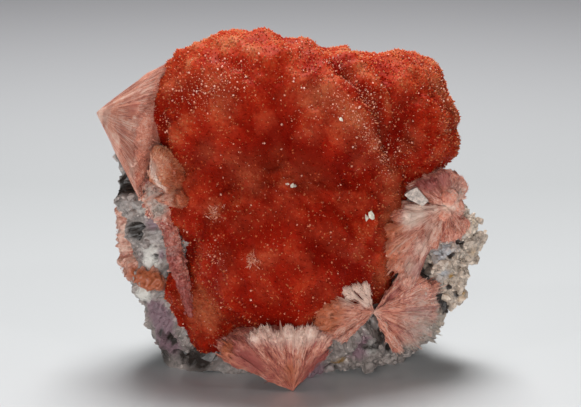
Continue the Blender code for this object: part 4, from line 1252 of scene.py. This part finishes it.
def add(tree, kind, settings=None, links=None):
    """A new shader node. Settings are its properties, its sockets' values or a ramp's stops."""
    node = tree.nodes.new("ShaderNode" + kind)
    for name, value in (settings or {}).items():
        if name == "stops":
            ramp = node.color_ramp.elements
            while len(ramp) < len(value):
                ramp.new(0.5)
            for element, (position, colour) in zip(ramp, value):
                element.position = position
                element.color = colour
        elif isinstance(name, int) or name in node.inputs:
            node.inputs[name].default_value = value
        else:
            setattr(node, name, value)
    for name, source in (links or {}).items():
        tree.links.new(source, node.inputs[name])
    return node


def new_material(name, constants):
    """A material whose shader has the given constants. Returns it, its tree and the shader."""
    material = bpy.data.materials.new(name)
    material.use_nodes = True
    tree = material.node_tree
    shader = tree.nodes["Principled BSDF"]
    for socket, value in constants.items():
        shader.inputs[socket].default_value = value
    return material, tree, shader


def blended(tree, value, parts):
    """A value plus each part, a socket or the name of an attribute, times its share."""
    for part, share in parts:
        if isinstance(part, str):
            part = add(tree, "Attribute", {"attribute_name": part}).outputs["Fac"]
        value = add(tree, "Math", {"operation": "MULTIPLY_ADD", 1: share},
                    {0: part, 2: value}).outputs["Value"]
    return value


def zoned(tree, colour, zones, noise, low=0.3, high=0.75):
    """Mixes each zone's tone over a colour where its value, broken up by the noise, is high."""
    broken = add(tree, "Math", {"operation": "MULTIPLY_ADD", 1: 1.2, 2: -0.6}, {0: noise})
    for zone, tone in zones:
        amount = add(tree, "Attribute", {"attribute_name": zone})
        summed = add(tree, "Math", {"operation": "ADD"},
                     {0: amount.outputs["Fac"], 1: broken.outputs["Value"]})
        edge = add(tree, "MapRange", {1: low, 2: high}, {0: summed.outputs["Value"]})
        colour = add(tree, "Mix", {"data_type": "RGBA", 7: tone},
                     {0: edge.outputs["Result"], 6: colour}).outputs[2]
    return colour


def druse_material(name, colours):
    """Inesite druse, natural crystal tips: a velvet of red needles, deep red in the hollows as
    painted shade.

    The tips are lighter than the roots, each needle has its own shade, and tan fuzz lies over
    it in patches. Light goes in a little way, which keeps the red deep, and what is reflected
    between the needles is tinted.
    """
    material, tree, shader = new_material(name, {
        "Roughness": 0.5, "IOR": 1.63, "Specular IOR Level": 0.08,
        "Specular Tint": linear("#FF8A60"), "Subsurface Weight": 0.5,
        "Subsurface Radius": (1.0, 0.25, 0.12), "Subsurface Scale": 0.5 * MM,
    })
    coordinates = add(tree, "TexCoord")
    # clouds of 4.5 mm, a little wider than a lump of the crust, and grain of 0.55 mm: crystals
    # are 0.34 mm wide, and their shades are drawn coarser to show
    cloud = add(tree, "TexNoise", {"Scale": 1.0 / (4.5 * MM), "Detail": 5.0, "Roughness": 0.65},
                {"Vector": coordinates.outputs["Object"]})
    fine = add(tree, "TexNoise", {"Scale": 1.0 / (0.55 * MM), "Detail": 3.0, "Roughness": 0.7},
               {"Vector": coordinates.outputs["Object"]})
    # light brings the crust's painted light and shade into the red
    light = add(tree, "Attribute", {"attribute_name": "light"})
    shade = blended(tree, light.outputs["Fac"], (
        (cloud.outputs["Fac"], 0.5), (fine.outputs["Fac"], 0.5), ("tip", 0.15), ("chance", 0.32),
    ))
    scaled = add(tree, "MapRange", {1: 0.85, 2: 1.65}, {0: shade})
    reds = add(tree, "ValToRGB", {"stops": (
        (0.0, colours.red_deep), (0.4, colours.red_mid), (0.68, colours.red_bright),
        (1.0, colours.red_haze),
    )}, {"Fac": scaled.outputs["Result"]})
    fuzz = add(tree, "Attribute", {"attribute_name": "fuzz"})
    veil = add(tree, "MapRange", {1: 0.15, 2: 0.62, 4: 0.9}, {0: fine.outputs["Fac"]})
    veiled = add(tree, "Math", {"operation": "MULTIPLY", "use_clamp": True},
                 {0: fuzz.outputs["Fac"], 1: veil.outputs["Result"]})
    coloured = add(tree, "Mix", {"data_type": "RGBA", 7: colours.red_haze},
                   {0: veiled.outputs["Value"], 6: reds.outputs["Color"]})
    tree.links.new(coloured.outputs[2], shader.inputs["Base Color"])
    return material


def spark_material(colours):
    """Inesite tips, natural glassy faces: points that glint, from orange pink to nearly white,
    where the pale colour of the glinting crystals is a painted glint.
    """
    material, tree, shader = new_material("inesite_pale_tips_and_painted_glints", {
        "Roughness": 0.35, "IOR": 1.63, "Specular IOR Level": 0.3,
    })
    chance = add(tree, "Attribute", {"attribute_name": "chance"})
    own = add(tree, "ValToRGB", {"stops": (
        (0.0, colours.red_haze), (0.45, colours.spark_warm), (1.0, colours.spark),
    )}, {"Fac": chance.outputs["Fac"]})
    tree.links.new(own.outputs["Color"], shader.inputs["Base Color"])
    return material


def fibre_material(name, stops, zones):
    """Fibrous inesite, natural parallel growth: a silky sheen with pale and mauve streaks.

    The streaks run along the fibres, which the fibre value follows. Fine furrows along them
    break up the highlight, and each zone value brings in its own tone, where the dark one is also
    painted shade in places.
    """
    material, tree, shader = new_material(name, {
        "Roughness": 0.42, "IOR": 1.63, "Specular IOR Level": 0.35,
        "Subsurface Weight": 0.15, "Subsurface Radius": (1.0, 0.6, 0.5),
        "Subsurface Scale": 0.5 * MM,
    })
    fibre = add(tree, "Attribute", {"attribute_name": "fibre"})
    # real fibres are under 0.1 mm: the streaks, 0.32 mm, are drawn coarser to show, the broad
    # ones are bundles of 2 mm, and the grain is 0.9 mm
    fine = add(tree, "TexNoise", {"Scale": 1.0 / 0.32, "Detail": 4.0, "Roughness": 0.75},
               {"Vector": fibre.outputs["Vector"]})
    broad = add(tree, "TexNoise", {"Scale": 1.0 / 2.0, "Detail": 2.0},
                {"Vector": fibre.outputs["Vector"]})
    coordinates = add(tree, "TexCoord")
    grain = add(tree, "TexNoise", {"Scale": 1.0 / (0.9 * MM), "Detail": 5.0, "Roughness": 0.7},
                {"Vector": coordinates.outputs["Object"]})
    shade = blended(tree, fine.outputs["Fac"], (
        (broad.outputs["Fac"], 0.45), (grain.outputs["Fac"], 0.6), ("tone", 0.5), ("chance", 0.4),
    ))
    scaled = add(tree, "MapRange", {1: 0.75, 2: 1.65}, {0: shade})
    body = add(tree, "ValToRGB", {"stops": stops}, {"Fac": scaled.outputs["Result"]})
    halved = add(tree, "Math", {"operation": "MULTIPLY", 1: 0.5}, {0: fine.outputs["Fac"]})
    noise = blended(tree, halved.outputs["Value"], ((grain.outputs["Fac"], 0.5),))
    colour = zoned(tree, body.outputs["Color"], zones, noise, 0.2, 0.8)
    tree.links.new(colour, shader.inputs["Base Color"])
    reach = add(tree, "Attribute", {"attribute_name": "reach"})
    depth = add(tree, "MapRange", {1: 0.1, 2: 0.7, 4: 0.4}, {0: reach.outputs["Fac"]})
    bump = add(tree, "Bump", {"Distance": 0.1 * MM},
               {"Height": fine.outputs["Fac"], "Strength": depth.outputs["Result"]})
    tree.links.new(bump.outputs["Normal"], shader.inputs["Normal"])
    return material


def rock_material(name, base, zones, constants, grain_size):
    """Quartz and host rock, natural broken faces: each zone value brings in its own tone, and the
    dark one brings painted shade as well.

    Grain of grain_size millimetres, about the width of a quartz grain, breaks up the edges of
    the zones and the shade of the rock, and every crystal and chip has a shade of its own.
    """
    material, tree, shader = new_material(name, constants)
    coordinates = add(tree, "TexCoord")
    grain = add(tree, "TexNoise", {"Scale": 1.0 / (grain_size * MM), "Detail": 6.0,
                                   "Roughness": 0.72}, {"Vector": coordinates.outputs["Object"]})
    shade = blended(tree, grain.outputs["Fac"], (("chance", 0.3),))
    dim = tuple(0.4 * c for c in base[:3]) + (1.0,)
    pale = tuple(min(1.0, 1.6 * c) for c in base[:3]) + (1.0,)
    colour = add(tree, "ValToRGB", {"stops": ((0.38, dim), (0.6, base), (0.85, pale))},
                 {"Fac": shade})
    colour = zoned(tree, colour.outputs["Color"], zones, grain.outputs["Fac"])
    tree.links.new(colour, shader.inputs["Base Color"])
    bump = add(tree, "Bump", {"Strength": 0.5, "Distance": 0.15 * MM},
               {"Height": grain.outputs["Fac"]})
    tree.links.new(bump.outputs["Normal"], shader.inputs["Normal"])
    return material


def add_piece(name, shapes, materials, replaced):
    """Puts the shapes in one mesh object with their values as attributes, in the frame.

    What would reach below the floor is flattened onto it.
    """
    shape = join(shapes)
    shape.places[:, 2] = np.maximum(shape.places[:, 2], 0.0)
    count = len(shape.faces)
    mesh = bpy.data.meshes.new(name)
    mesh.vertices.add(len(shape.places))
    mesh.vertices.foreach_set("co", ((shape.places + SHIFT) * MM).astype(np.float32).ravel())
    mesh.loops.add(count * 3)
    mesh.loops.foreach_set("vertex_index", shape.faces.astype(np.int32).ravel())
    mesh.polygons.add(count)
    mesh.polygons.foreach_set("loop_start", np.arange(0, count * 3, 3, dtype=np.int32))
    mesh.polygons.foreach_set("material_index", shape.finish)
    mesh.update(calc_edges=True)
    mesh.polygons.foreach_set("use_smooth", shape.smooth)
    for value, held in shape.values.items():
        if held.ndim == 2:
            layer = mesh.attributes.new(value, "FLOAT_VECTOR", "POINT")
            layer.data.foreach_set("vector", held.astype(np.float32).ravel())
        else:
            layer = mesh.attributes.new(value, "FLOAT", "POINT")
            layer.data.foreach_set("value", held.astype(np.float32))
    for material in materials:
        mesh.materials.append(material)
    piece = bpy.data.objects.new(name, mesh)
    bpy.context.scene.collection.objects.link(piece)
    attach(piece, "root")
    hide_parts(*replaced)


class INESITE_OT_stage(bpy.types.Operator):
    """Add the pale floor, the soft lights and the camera"""

    bl_idname = "inesite.stage"
    bl_label = "Stage"

    def execute(self, context):
        floor_mesh = bpy.data.meshes.new("floor")
        floor_mesh.from_pydata(FLOOR, [], [(0, 1, 2, 3)])
        # Coated white board, smooth and half glossy: it mirrors the specimen softly. Its colour is
        # graded by depth as painted light and shade: a little greyer just behind it than in front
        # or far back
        material, tree, shader = new_material("coated_white_board", {
            "Roughness": 0.22, "Specular IOR Level": 0.4,
        })
        coordinates = add(tree, "TexCoord")
        parted = add(tree, "SeparateXYZ", {}, {"Vector": coordinates.outputs["Object"]})
        depth = add(tree, "MapRange", {1: -0.05, 2: 0.45}, {0: parted.outputs["Y"]})
        board = add(tree, "ValToRGB", {"stops": (
            (0.0, linear("#E3E5E6")), (0.35, linear("#D4D6D7")), (1.0, linear("#E8E7EB")),
        )}, {"Fac": depth.outputs["Result"]})
        tree.links.new(board.outputs["Color"], shader.inputs["Base Color"])
        floor_mesh.materials.append(material)
        floor = bpy.data.objects.new("floor", floor_mesh)
        context.scene.collection.objects.link(floor)

        target = Vector((SHIFT + np.array(VIEW_TARGET)) * MM)
        for name, place, size, power in LAMPS:
            lamp = bpy.data.lights.new(name, "AREA")
            lamp.size = size
            lamp.energy = power
            item = bpy.data.objects.new(name, lamp)
            item.location = place
            item.visible_camera = False
            item.rotation_mode = "QUATERNION"
            item.rotation_quaternion = (target - Vector(place)).to_track_quat("-Z", "Y")
            context.scene.collection.objects.link(item)

        world = bpy.data.worlds.new("studio")
        world.use_nodes = True
        ambient = world.node_tree.nodes["Background"]
        ambient.inputs["Color"].default_value = linear("#C9CCD0")
        ambient.inputs["Strength"].default_value = 0.05
        context.scene.world = world
        context.scene.view_settings.view_transform = "Standard"

        data = bpy.data.cameras.new("camera")
        data.lens = VIEW_LENS
        data.sensor_width = VIEW_SENSOR
        data.clip_start, data.clip_end = 0.01, 10.0
        camera = bpy.data.objects.new("camera", data)
        back = Vector((0.0, -math.cos(VIEW_ELEVATION), math.sin(VIEW_ELEVATION)))
        camera.location = target + back * (VIEW_DISTANCE * MM)
        camera.rotation_mode = "QUATERNION"
        camera.rotation_quaternion = (-back).to_track_quat("-Z", "Y")
        context.scene.collection.objects.link(camera)
        context.scene.camera = camera
        return {"FINISHED"}


def pale_tuft(place, size, seed):
    """A small spray of pale needles that lies on the dome, from starts round one place."""
    rng = np.random.default_rng(seed)
    count = 110
    root = np.array(place)
    out = unit(root - nearest_centre(root[None, :], MAIN_BALLS)[0])
    ways = unit(rng.normal(size=(count, 3)) + out * 0.9)
    starts = root + rng.normal(scale=0.3 * size, size=(count, 3)) - out * 0.5
    tips = starts + ways * (size * rng.uniform(0.3, 0.8, count))[:, None]
    return needles(
        starts, tips, rng.uniform(0.07, 0.14, count),
        profile=((0.6, 1.0),), sides=3, seed=seed + 1, finish=1,
    )


class INESITE_OT_crusts(bpy.types.Operator):
    """Add the red crusts of radiating crystals, with their glints, flakes and pale tufts"""

    bl_idname = "inesite.crusts"
    bl_label = "Red crusts"

    def execute(self, context):
        sizes, colours = context.scene.inesite_sizes, context.scene.inesite_colours
        length, width = sizes.crystal_length / MM, sizes.crystal_width / MM
        glint_size = sizes.spark / MM
        red = druse_material("inesite_red_druse", colours)
        glint = spark_material(colours)
        # Milky quartz, natural broken flakes: small, glassy and pale on the red
        chip = rock_material("quartz_white_flakes", colours.flake, (), QUARTZ_FACES,
                             grain_size=0.5)
        main = crust(
            cells=52, centre=MAIN_CENTRE, balls=MAIN_BALLS, back=MAIN_BACK, seed=1,
            haze=MAIN_HAZE, deep=MAIN_DEEP, sink=0.36, caps=MAIN_CAPS,
        )
        flake_places = np.array([place for place, _ in FLAKES])
        flake_sizes = np.array([size for _, size in FLAKES]) * 2.0
        way = unit(flake_places - nearest_centre(flake_places, MAIN_BALLS))
        add_piece("main_dome_druse", [
            main,
            druse(main, MAIN_BALLS, sizes.main_crystals, length, width, seed=101),
            sparks(main, sizes.sparks, glint_size, MAIN_SPARKS, seed=111),
            sparks(main, sizes.crevice_sparks, 0.6 * glint_size, CREVICE_SPARKS, seed=141),
            grains(flake_places + way * 0.35, way, flake_sizes, seed=121, flat=0.35, finish=2),
            *(pale_tuft(*tuft, seed=131 + k) for k, tuft in enumerate(PALE_TUFTS)),
        ], [red, glint, chip], ["main_dome"])

        upper = crust(
            cells=38, centre=UPPER_RIGHT_CENTRE, balls=UPPER_RIGHT_BALLS, back=UPPER_RIGHT_BACK,
            seed=7, haze=UPPER_RIGHT_HAZE, deep=UPPER_RIGHT_DEEP, sink=0.36,
            caps=UPPER_RIGHT_CAPS,
        )
        add_piece("upper_right_druse", [
            upper,
            druse(upper, UPPER_RIGHT_BALLS, sizes.main_crystals // 2, length, width, seed=201),
            sparks(upper, sizes.sparks // 2, glint_size, UPPER_RIGHT_SPARKS, seed=211),
        ], [red, glint], ["upper_right_dome"])

        lower = crust(
            cells=28, centre=LOWER_LEFT_CENTRE, balls=LOWER_LEFT_BALLS, back=LOWER_LEFT_BACK,
            seed=13, haze=LOWER_LEFT_HAZE, deep=LOWER_LEFT_DEEP, sink=0.35,
            caps=LOWER_LEFT_CAPS,
        )
        add_piece("lower_left_druse", [
            lower,
            druse(lower, LOWER_LEFT_BALLS, sizes.main_crystals // 7, 0.8 * length, width,
                  seed=301),
            sparks(lower, sizes.sparks // 10, glint_size, (), seed=311),
        ], [red, glint], ["lower_left_crust"])
        return {"FINISHED"}


def fibre_ball(centre, radius, seed):
    """A round knob of fibrous inesite: a ball with soft lumps."""
    directions, faces = ball_grid(cells=14)
    lumps = relief(directions, ((0.9, 0.05 * radius), (0.4, 0.03 * radius)), seed)
    count = len(directions)
    return Shape(
        np.array(centre) + directions * (radius + lumps)[:, None], faces,
        values={
            "fibre": directions * radius, "reach": np.full(count, 0.2),
            "chance": np.full(count, 0.5),
        },
    )


def bundle_shapes(name, width, seed):
    """The bundles of a spray: each a narrow sheaf with fibres, tinted towards its end.

    The tint grows evenly along a bundle, and pink bundles have none.
    """
    apex, table = BUNDLES[name]
    rng = np.random.default_rng(seed)
    shapes = []
    for k, (tip, half, zone) in enumerate(table):
        long = float(np.linalg.norm(np.array(tip) - np.array(apex)))
        facing = (0.1 * rng.normal(), -1.0, 0.1)
        sheaf = (apex, tip, facing, half, half * 0.85, (0.95 * long, long, 0.95 * long))
        tone = 0.08 * rng.normal()
        body = sheaf_body(sheaf, seed + 3 * k, columns=32, rows=12, tone=tone)
        group = [
            roughened(body, ROUGH_LUMPS, seed + 3 * k),
            sheaf_fibres(sheaf, count=170, width=width, seed=seed + 3 * k + 1, spill=0.16,
                         tone=tone),
            end_fuzz(body, apex, count=110, length=0.6, width=width, seed=seed + 3 * k + 2),
            matted(body, apex, count=150, length=1.8, width=width, seed=seed + 3 * k + 2),
        ]
        if zone != "pink":
            for shape in group:
                tint = np.clip(shape.values["reach"] * 1.3 - 0.35, 0.0, 1.0)
                shape.values[zone] = 0.35 * tint
        shapes += group
    return shapes


def spray(
    name, sheaves, counts, materials, width, seed, bulge=0.0, extra=(), fuzz=(0, 0.5),
    lumps=ROUGH_LUMPS, mats=(), swirl=(0.0, 0.0, 0.0),
):
    """Adds a piece of sheaves with their fibres, in place of the solid of that name.

    counts is the number of fibres of each sheaf, fuzz the number and the length of the short
    needles on each sheaf's end, and mats the number of short fibres that lie on each sheaf.
    """
    shapes = list(extra)
    for k, (sheaf, count) in enumerate(zip(sheaves, counts)):
        body = roughened(sheaf_body(sheaf, seed + 10 * k, bulge=bulge), lumps, seed + k)
        shapes += [body, sheaf_fibres(sheaf, count, width, seed + 10 * k + 5, bulge)]
        if fuzz[0]:
            shapes.append(end_fuzz(body, sheaf[0], *fuzz, width, seed + 10 * k + 7))
        if mats:
            shapes.append(matted(
                body, sheaf[0], mats[k], length=1.6, width=width, seed=seed + 10 * k + 8,
                swirl=swirl,
            ))
    if name in BUNDLES:
        shapes += bundle_shapes(name, width, seed + 500)
    for zone, table in SPRAY_ZONES[name].items():
        for shape in shapes:
            shape.values[zone] = spots(shape.places, table) + shape.values.get(zone, 0.0)
    for shape in shapes:
        tone = np.full(len(shape.places), SPRAY_TONES.get(name, 0.0))
        shape.values["tone"] = tone + shape.values.get("tone", 0.0)
    add_piece(name + "_fibres", shapes, materials, [name])


def skirt_shapes(width, rng):
    """The skirt below the left spray: a lumpy band, fibres, and grains of uneven tone."""
    count = 900
    band = band_body(SKIRT, SKIRT_LUMPS, stripes=(), seed=71)
    spread, ways, _ = scatter(band, count, seed=75)
    spread = spread + 0.2 * rng.normal(size=spread.shape)
    widths = 0.25 + 0.45 * rng.random(count) ** 2
    tones = rng.uniform(-0.9, 1.3, count)
    return [
        band,
        band_fibres(SKIRT, count=1700, length=0.6, width=1.2 * width, seed=73, lean=0.5),
        grains(spread, ways, widths, seed=78, values={"tone": tones}),
    ]


def wing_grains(rng):
    """Greyish grains on the end of the right wing of the lower right bow tie."""
    count = 300
    wing = sheaf_body(LOWER_RIGHT_SHEAVES[1], seed=61)
    at_end = (wing.values["reach"] > 0.85) * 1.0
    spread, ways, _ = scatter(wing, count, seed=79, weight=at_end)
    return grains(
        spread, ways, 0.25 + 0.4 * rng.random(count) ** 2, seed=80,
        values={"reach": np.ones(count), "grey": np.full(count, 0.3)},
    )


class INESITE_OT_sprays(bpy.types.Operator):
    """Add the sheaves of silky pink fibres round the crusts"""

    bl_idname = "inesite.sprays"
    bl_label = "Pink sprays"

    def execute(self, context):
        sizes, colours = context.scene.inesite_sizes, context.scene.inesite_colours
        width = sizes.fibre_width / MM
        zones = (("orange", colours.fibre_orange), ("dark", colours.fibre_dark),
                 ("pale", colours.fibre_pale), ("grey", colours.fibre_grey))
        pink = fibre_material("inesite_silky_pink_fibres", (
            (0.2, colours.fibre_dark), (0.5, colours.fibre_mid), (0.85, colours.fibre_pale),
        ), zones)
        # Milky quartz, one flat natural crystal face: glassy and nearly white
        blade = rock_material("quartz_white_blade", colours.blade, (), QUARTZ_FACES,
                              grain_size=0.8)
        rng = np.random.default_rng(77)
        spray("left_spray", LEFT_SHEAVES, (4600,), [pink], width, seed=21,
              bulge=0.3, extra=skirt_shapes(width, rng), fuzz=(900, 0.5), lumps=SILKY_LUMPS)
        spray("bottom_spray", BOTTOM_SHEAVES, (1000,), [pink], width, seed=31,
              mats=(1600,))
        spray("lower_right_spray", LOWER_RIGHT_SHEAVES, (900, 1200), [pink], width, seed=51,
              extra=[wing_grains(rng)], mats=(800, 1600))
        flat = plate(BLADE, BLADE_THICKNESS, finish=1, smooth=False)
        knobs = [fibre_ball(*ball, seed=91 + k) for k, ball in enumerate(SPRAY_BALLS)]
        spray("right_spray", RIGHT_SHEAVES, (900, 500, 500), [pink, blade], width, seed=61,
              extra=[flat, *knobs], mats=(1700, 1200, 700),
              swirl=(-0.5, 0.0, -0.3))
        return {"FINISHED"}


class INESITE_OT_tufts(bpy.types.Operator):
    """Add the two tan tufts and the orange rim on the left"""

    bl_idname = "inesite.tufts"
    bl_label = "Tufts and rim"

    def execute(self, context):
        sizes, colours = context.scene.inesite_sizes, context.scene.inesite_colours
        width = 0.75 * sizes.fibre_width / MM
        zones = (("dark", colours.fibre_dark), ("pale", colours.fibre_pale))
        # Fibrous inesite, natural growth: tan, and burnt orange where it meets the druse
        tan = fibre_material("inesite_tan_fibres", (
            (0.2, colours.tan_dark), (0.5, colours.tan_mid), (0.85, colours.tan_pale),
        ), (("orange", colours.tan_orange), *zones))
        spray("upper_left_tuft", UPPER_TUFT_SHEAVES, (900,), [tan], width, seed=41,
              fuzz=(2000, 0.6), mats=(700,))
        spray("lower_left_tuft", LOWER_TUFT_SHEAVES, (1000,), [tan], width, seed=44,
              fuzz=(200, 0.5), mats=(400,))
        # Inesite, natural growth in layers: dull pink, striped across, orange on its lower turn
        rim = fibre_material("inesite_layered_rim", (
            (0.2, colours.fibre_dark), (0.5, colours.rim_mid), (0.85, colours.fibre_pale),
        ), (("orange", colours.rim_orange), *zones))
        spray("left_rim", (), (), [rim], width, seed=0, extra=[
            band_body(RIM, RIM_LUMPS, RIM_STRIPES, seed=82),
            fibre_ball(*RIM_BALL, seed=81),
            band_fibres(RIM, count=900, length=0.35, width=1.2 * width, seed=84, lean=0.6),
        ])
        return {"FINISHED"}


class INESITE_OT_matrix(bpy.types.Operator):
    """Add the broken quartz matrix with its vugs, grains and crystals"""

    bl_idname = "inesite.matrix"
    bl_label = "Quartz matrix"

    def execute(self, context):
        sizes, colours = context.scene.inesite_sizes, context.scene.inesite_colours
        directions, faces = ball_grid(cells=72)
        start = np.array(MATRIX_CENTRE)
        radius = matrix_radius(directions)
        places = start + directions * radius[:, None]
        dents = np.zeros(len(radius))
        for place, size in PITS:
            way = unit(np.array(place) - start)
            spot = start + way * matrix_radius(way[None, :])[0]
            far = np.linalg.norm(places - spot, axis=1)
            dent = np.exp(-((far / size) ** 4))
            dents += dent
            radius = radius - 1.6 * size * dent
        hollow = np.clip(evened(radius, faces, rounds=12) - radius, 0.0, 1.0)
        places = start + directions * radius[:, None]
        places[:, 2] = np.maximum(places[:, 2], 0.0)
        values = {zone: spots(places, table) for zone, table in MATRIX_ZONES.items()}
        # the broken back is clouded with darker and whiter rock, and the vugs and hollows are
        # darkened as painted shade
        behind = (directions[:, 1] > 0.1) * 1.0
        clouds = waves(places, 9.0, seed=95)
        values["dark"] += behind * np.clip(0.1 + 0.35 * clouds, 0.0, 1.0)
        values["dark"] += 0.9 * dents + 1.2 * hollow
        values["white"] += behind * np.clip(0.5 * waves(places, 6.0, seed=96), 0.0, 0.6)
        base = Shape(places, faces, smooth=False, values=values)
        # grains and crystals stand above the floor, and few of them in the vugs
        open_rock = (places[:, 2] > 0.6) * np.clip(1.2 - dents, 0.0, 1.0)
        weight = open_rock * (1.0 + 1.6 * (directions[:, 1] < 0.1) + 2.0 * values["mauve"])
        lumps = rock_grains(
            base, count=3200, width=sizes.grain / MM, shares=(0.35, 1.2), seeds=(97, 99),
            values=values, weight=weight,
        )
        light = open_rock * np.clip(1.0 - values["dark"], 0.05, 1.0)
        points = crystals(base, count=1000, size=1.8, seed=100, weight=light, values=values)
        # Milky quartz grown on dark host rock, natural broken faces: half glossy, and a little
        # light goes into it
        rock = rock_material("quartz_on_host_rock", colours.quartz_grey, (
            ("mauve", colours.quartz_mauve), ("ochre", colours.ochre),
            ("white", colours.quartz_white), ("dark", colours.dark_rock_and_shade),
        ), {"Roughness": 0.4, "IOR": 1.55, "Subsurface Weight": 0.15,
            "Subsurface Radius": (1.0, 0.95, 0.9), "Subsurface Scale": 0.6 * MM}, grain_size=0.9)
        add_piece("matrix_rock", [base, lumps, points], [rock], ["quartz_matrix"])
        return {"FINISHED"}


class INESITE_OT_knobs(bpy.types.Operator):
    """Add the cream quartz knobs on the right"""

    bl_idname = "inesite.knobs"
    bl_label = "Quartz knobs"

    def execute(self, context):
        sizes, colours = context.scene.inesite_sizes, context.scene.inesite_colours
        directions, faces = ball_grid(cells=50)
        start = np.array(KNOB_CENTRE)
        reach = ball_reach(directions, start, KNOB_BALLS, KNOB_BACK, sharpness=22.0)
        places = start + directions * reach[:, None]
        reach = reach + relief(places, KNOB_LUMPS, seed=17)
        for place, size, deep in KNOB_PITS:
            far = np.linalg.norm(places - np.array(place), axis=1)
            reach = reach - deep * np.exp(-((far / size) ** 2))
        places = start + directions * reach[:, None]
        values = {zone: spots(places, table) for zone, table in KNOB_ZONES.items()}
        # hollows are darkened as painted shade
        hollow = np.clip(evened(reach, faces, rounds=8) - reach, 0.0, 1.0)
        values["dark"] += 1.6 * hollow
        base = Shape(places, faces, smooth=False, values=values)
        lumps = rock_grains(
            base, count=1350, width=sizes.grain / MM, shares=(0.3, 0.9), seeds=(171, 172),
            values=values,
        )
        points = crystals(
            base, count=260, size=1.7, seed=175, weight=0.3 + values["blue"], values=values,
            tilt=0.7,
        )
        # Cream quartz, natural rounded knobs of small crystals: half glossy, and light goes in
        quartz = rock_material("quartz_cream_knobs", colours.knob_cream, (
            ("blue", colours.knob_blue), ("ochre", colours.ochre), ("dark", colours.dark_rock_and_shade),
        ), {"Roughness": 0.4, "IOR": 1.55, "Subsurface Weight": 0.2,
            "Subsurface Radius": (1.0, 0.9, 0.8), "Subsurface Scale": 0.6 * MM}, grain_size=0.8)
        add_piece("right_quartz", [base, lumps, points], [quartz],
                  ["right_quartz_knobs"])
        return {"FINISHED"}


OPERATORS = (
    INESITE_OT_stage,
    INESITE_OT_matrix,
    INESITE_OT_crusts,
    INESITE_OT_sprays,
    INESITE_OT_tufts,
    INESITE_OT_knobs,
)


class INESITE_PT_panel(bpy.types.Panel):
    """Lists the pieces of the specimen"""

    bl_idname = "INESITE_PT_panel"
    bl_label = "Inesite specimen"
    bl_space_type = "VIEW_3D"
    bl_region_type = "UI"
    bl_category = "Inesite"

    def draw(self, context):
        layout = self.layout
        for operator in OPERATORS:
            layout.operator(operator.bl_idname)
        for group in (context.scene.inesite_sizes, context.scene.inesite_colours):
            for name in group.__annotations__:
                layout.prop(group, name)


CLASSES = (SpecimenSizes, SpecimenColours, *OPERATORS, INESITE_PT_panel)


def register():
    """Adds the classes, and the sizes and colours to the scene."""
    for item in CLASSES:
        bpy.utils.register_class(item)
    bpy.types.Scene.inesite_sizes = bpy.props.PointerProperty(type=SpecimenSizes)
    bpy.types.Scene.inesite_colours = bpy.props.PointerProperty(type=SpecimenColours)


def unregister():
    """Takes away what register adds."""
    del bpy.types.Scene.inesite_colours
    del bpy.types.Scene.inesite_sizes
    for item in reversed(CLASSES):
        bpy.utils.unregister_class(item)


def main():
    """Builds the stage and every piece."""
    register()
    for operator in OPERATORS:
        getattr(bpy.ops.inesite, operator.bl_idname.split(".")[1])()
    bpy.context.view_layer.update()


if __name__ == "__main__":
    main()
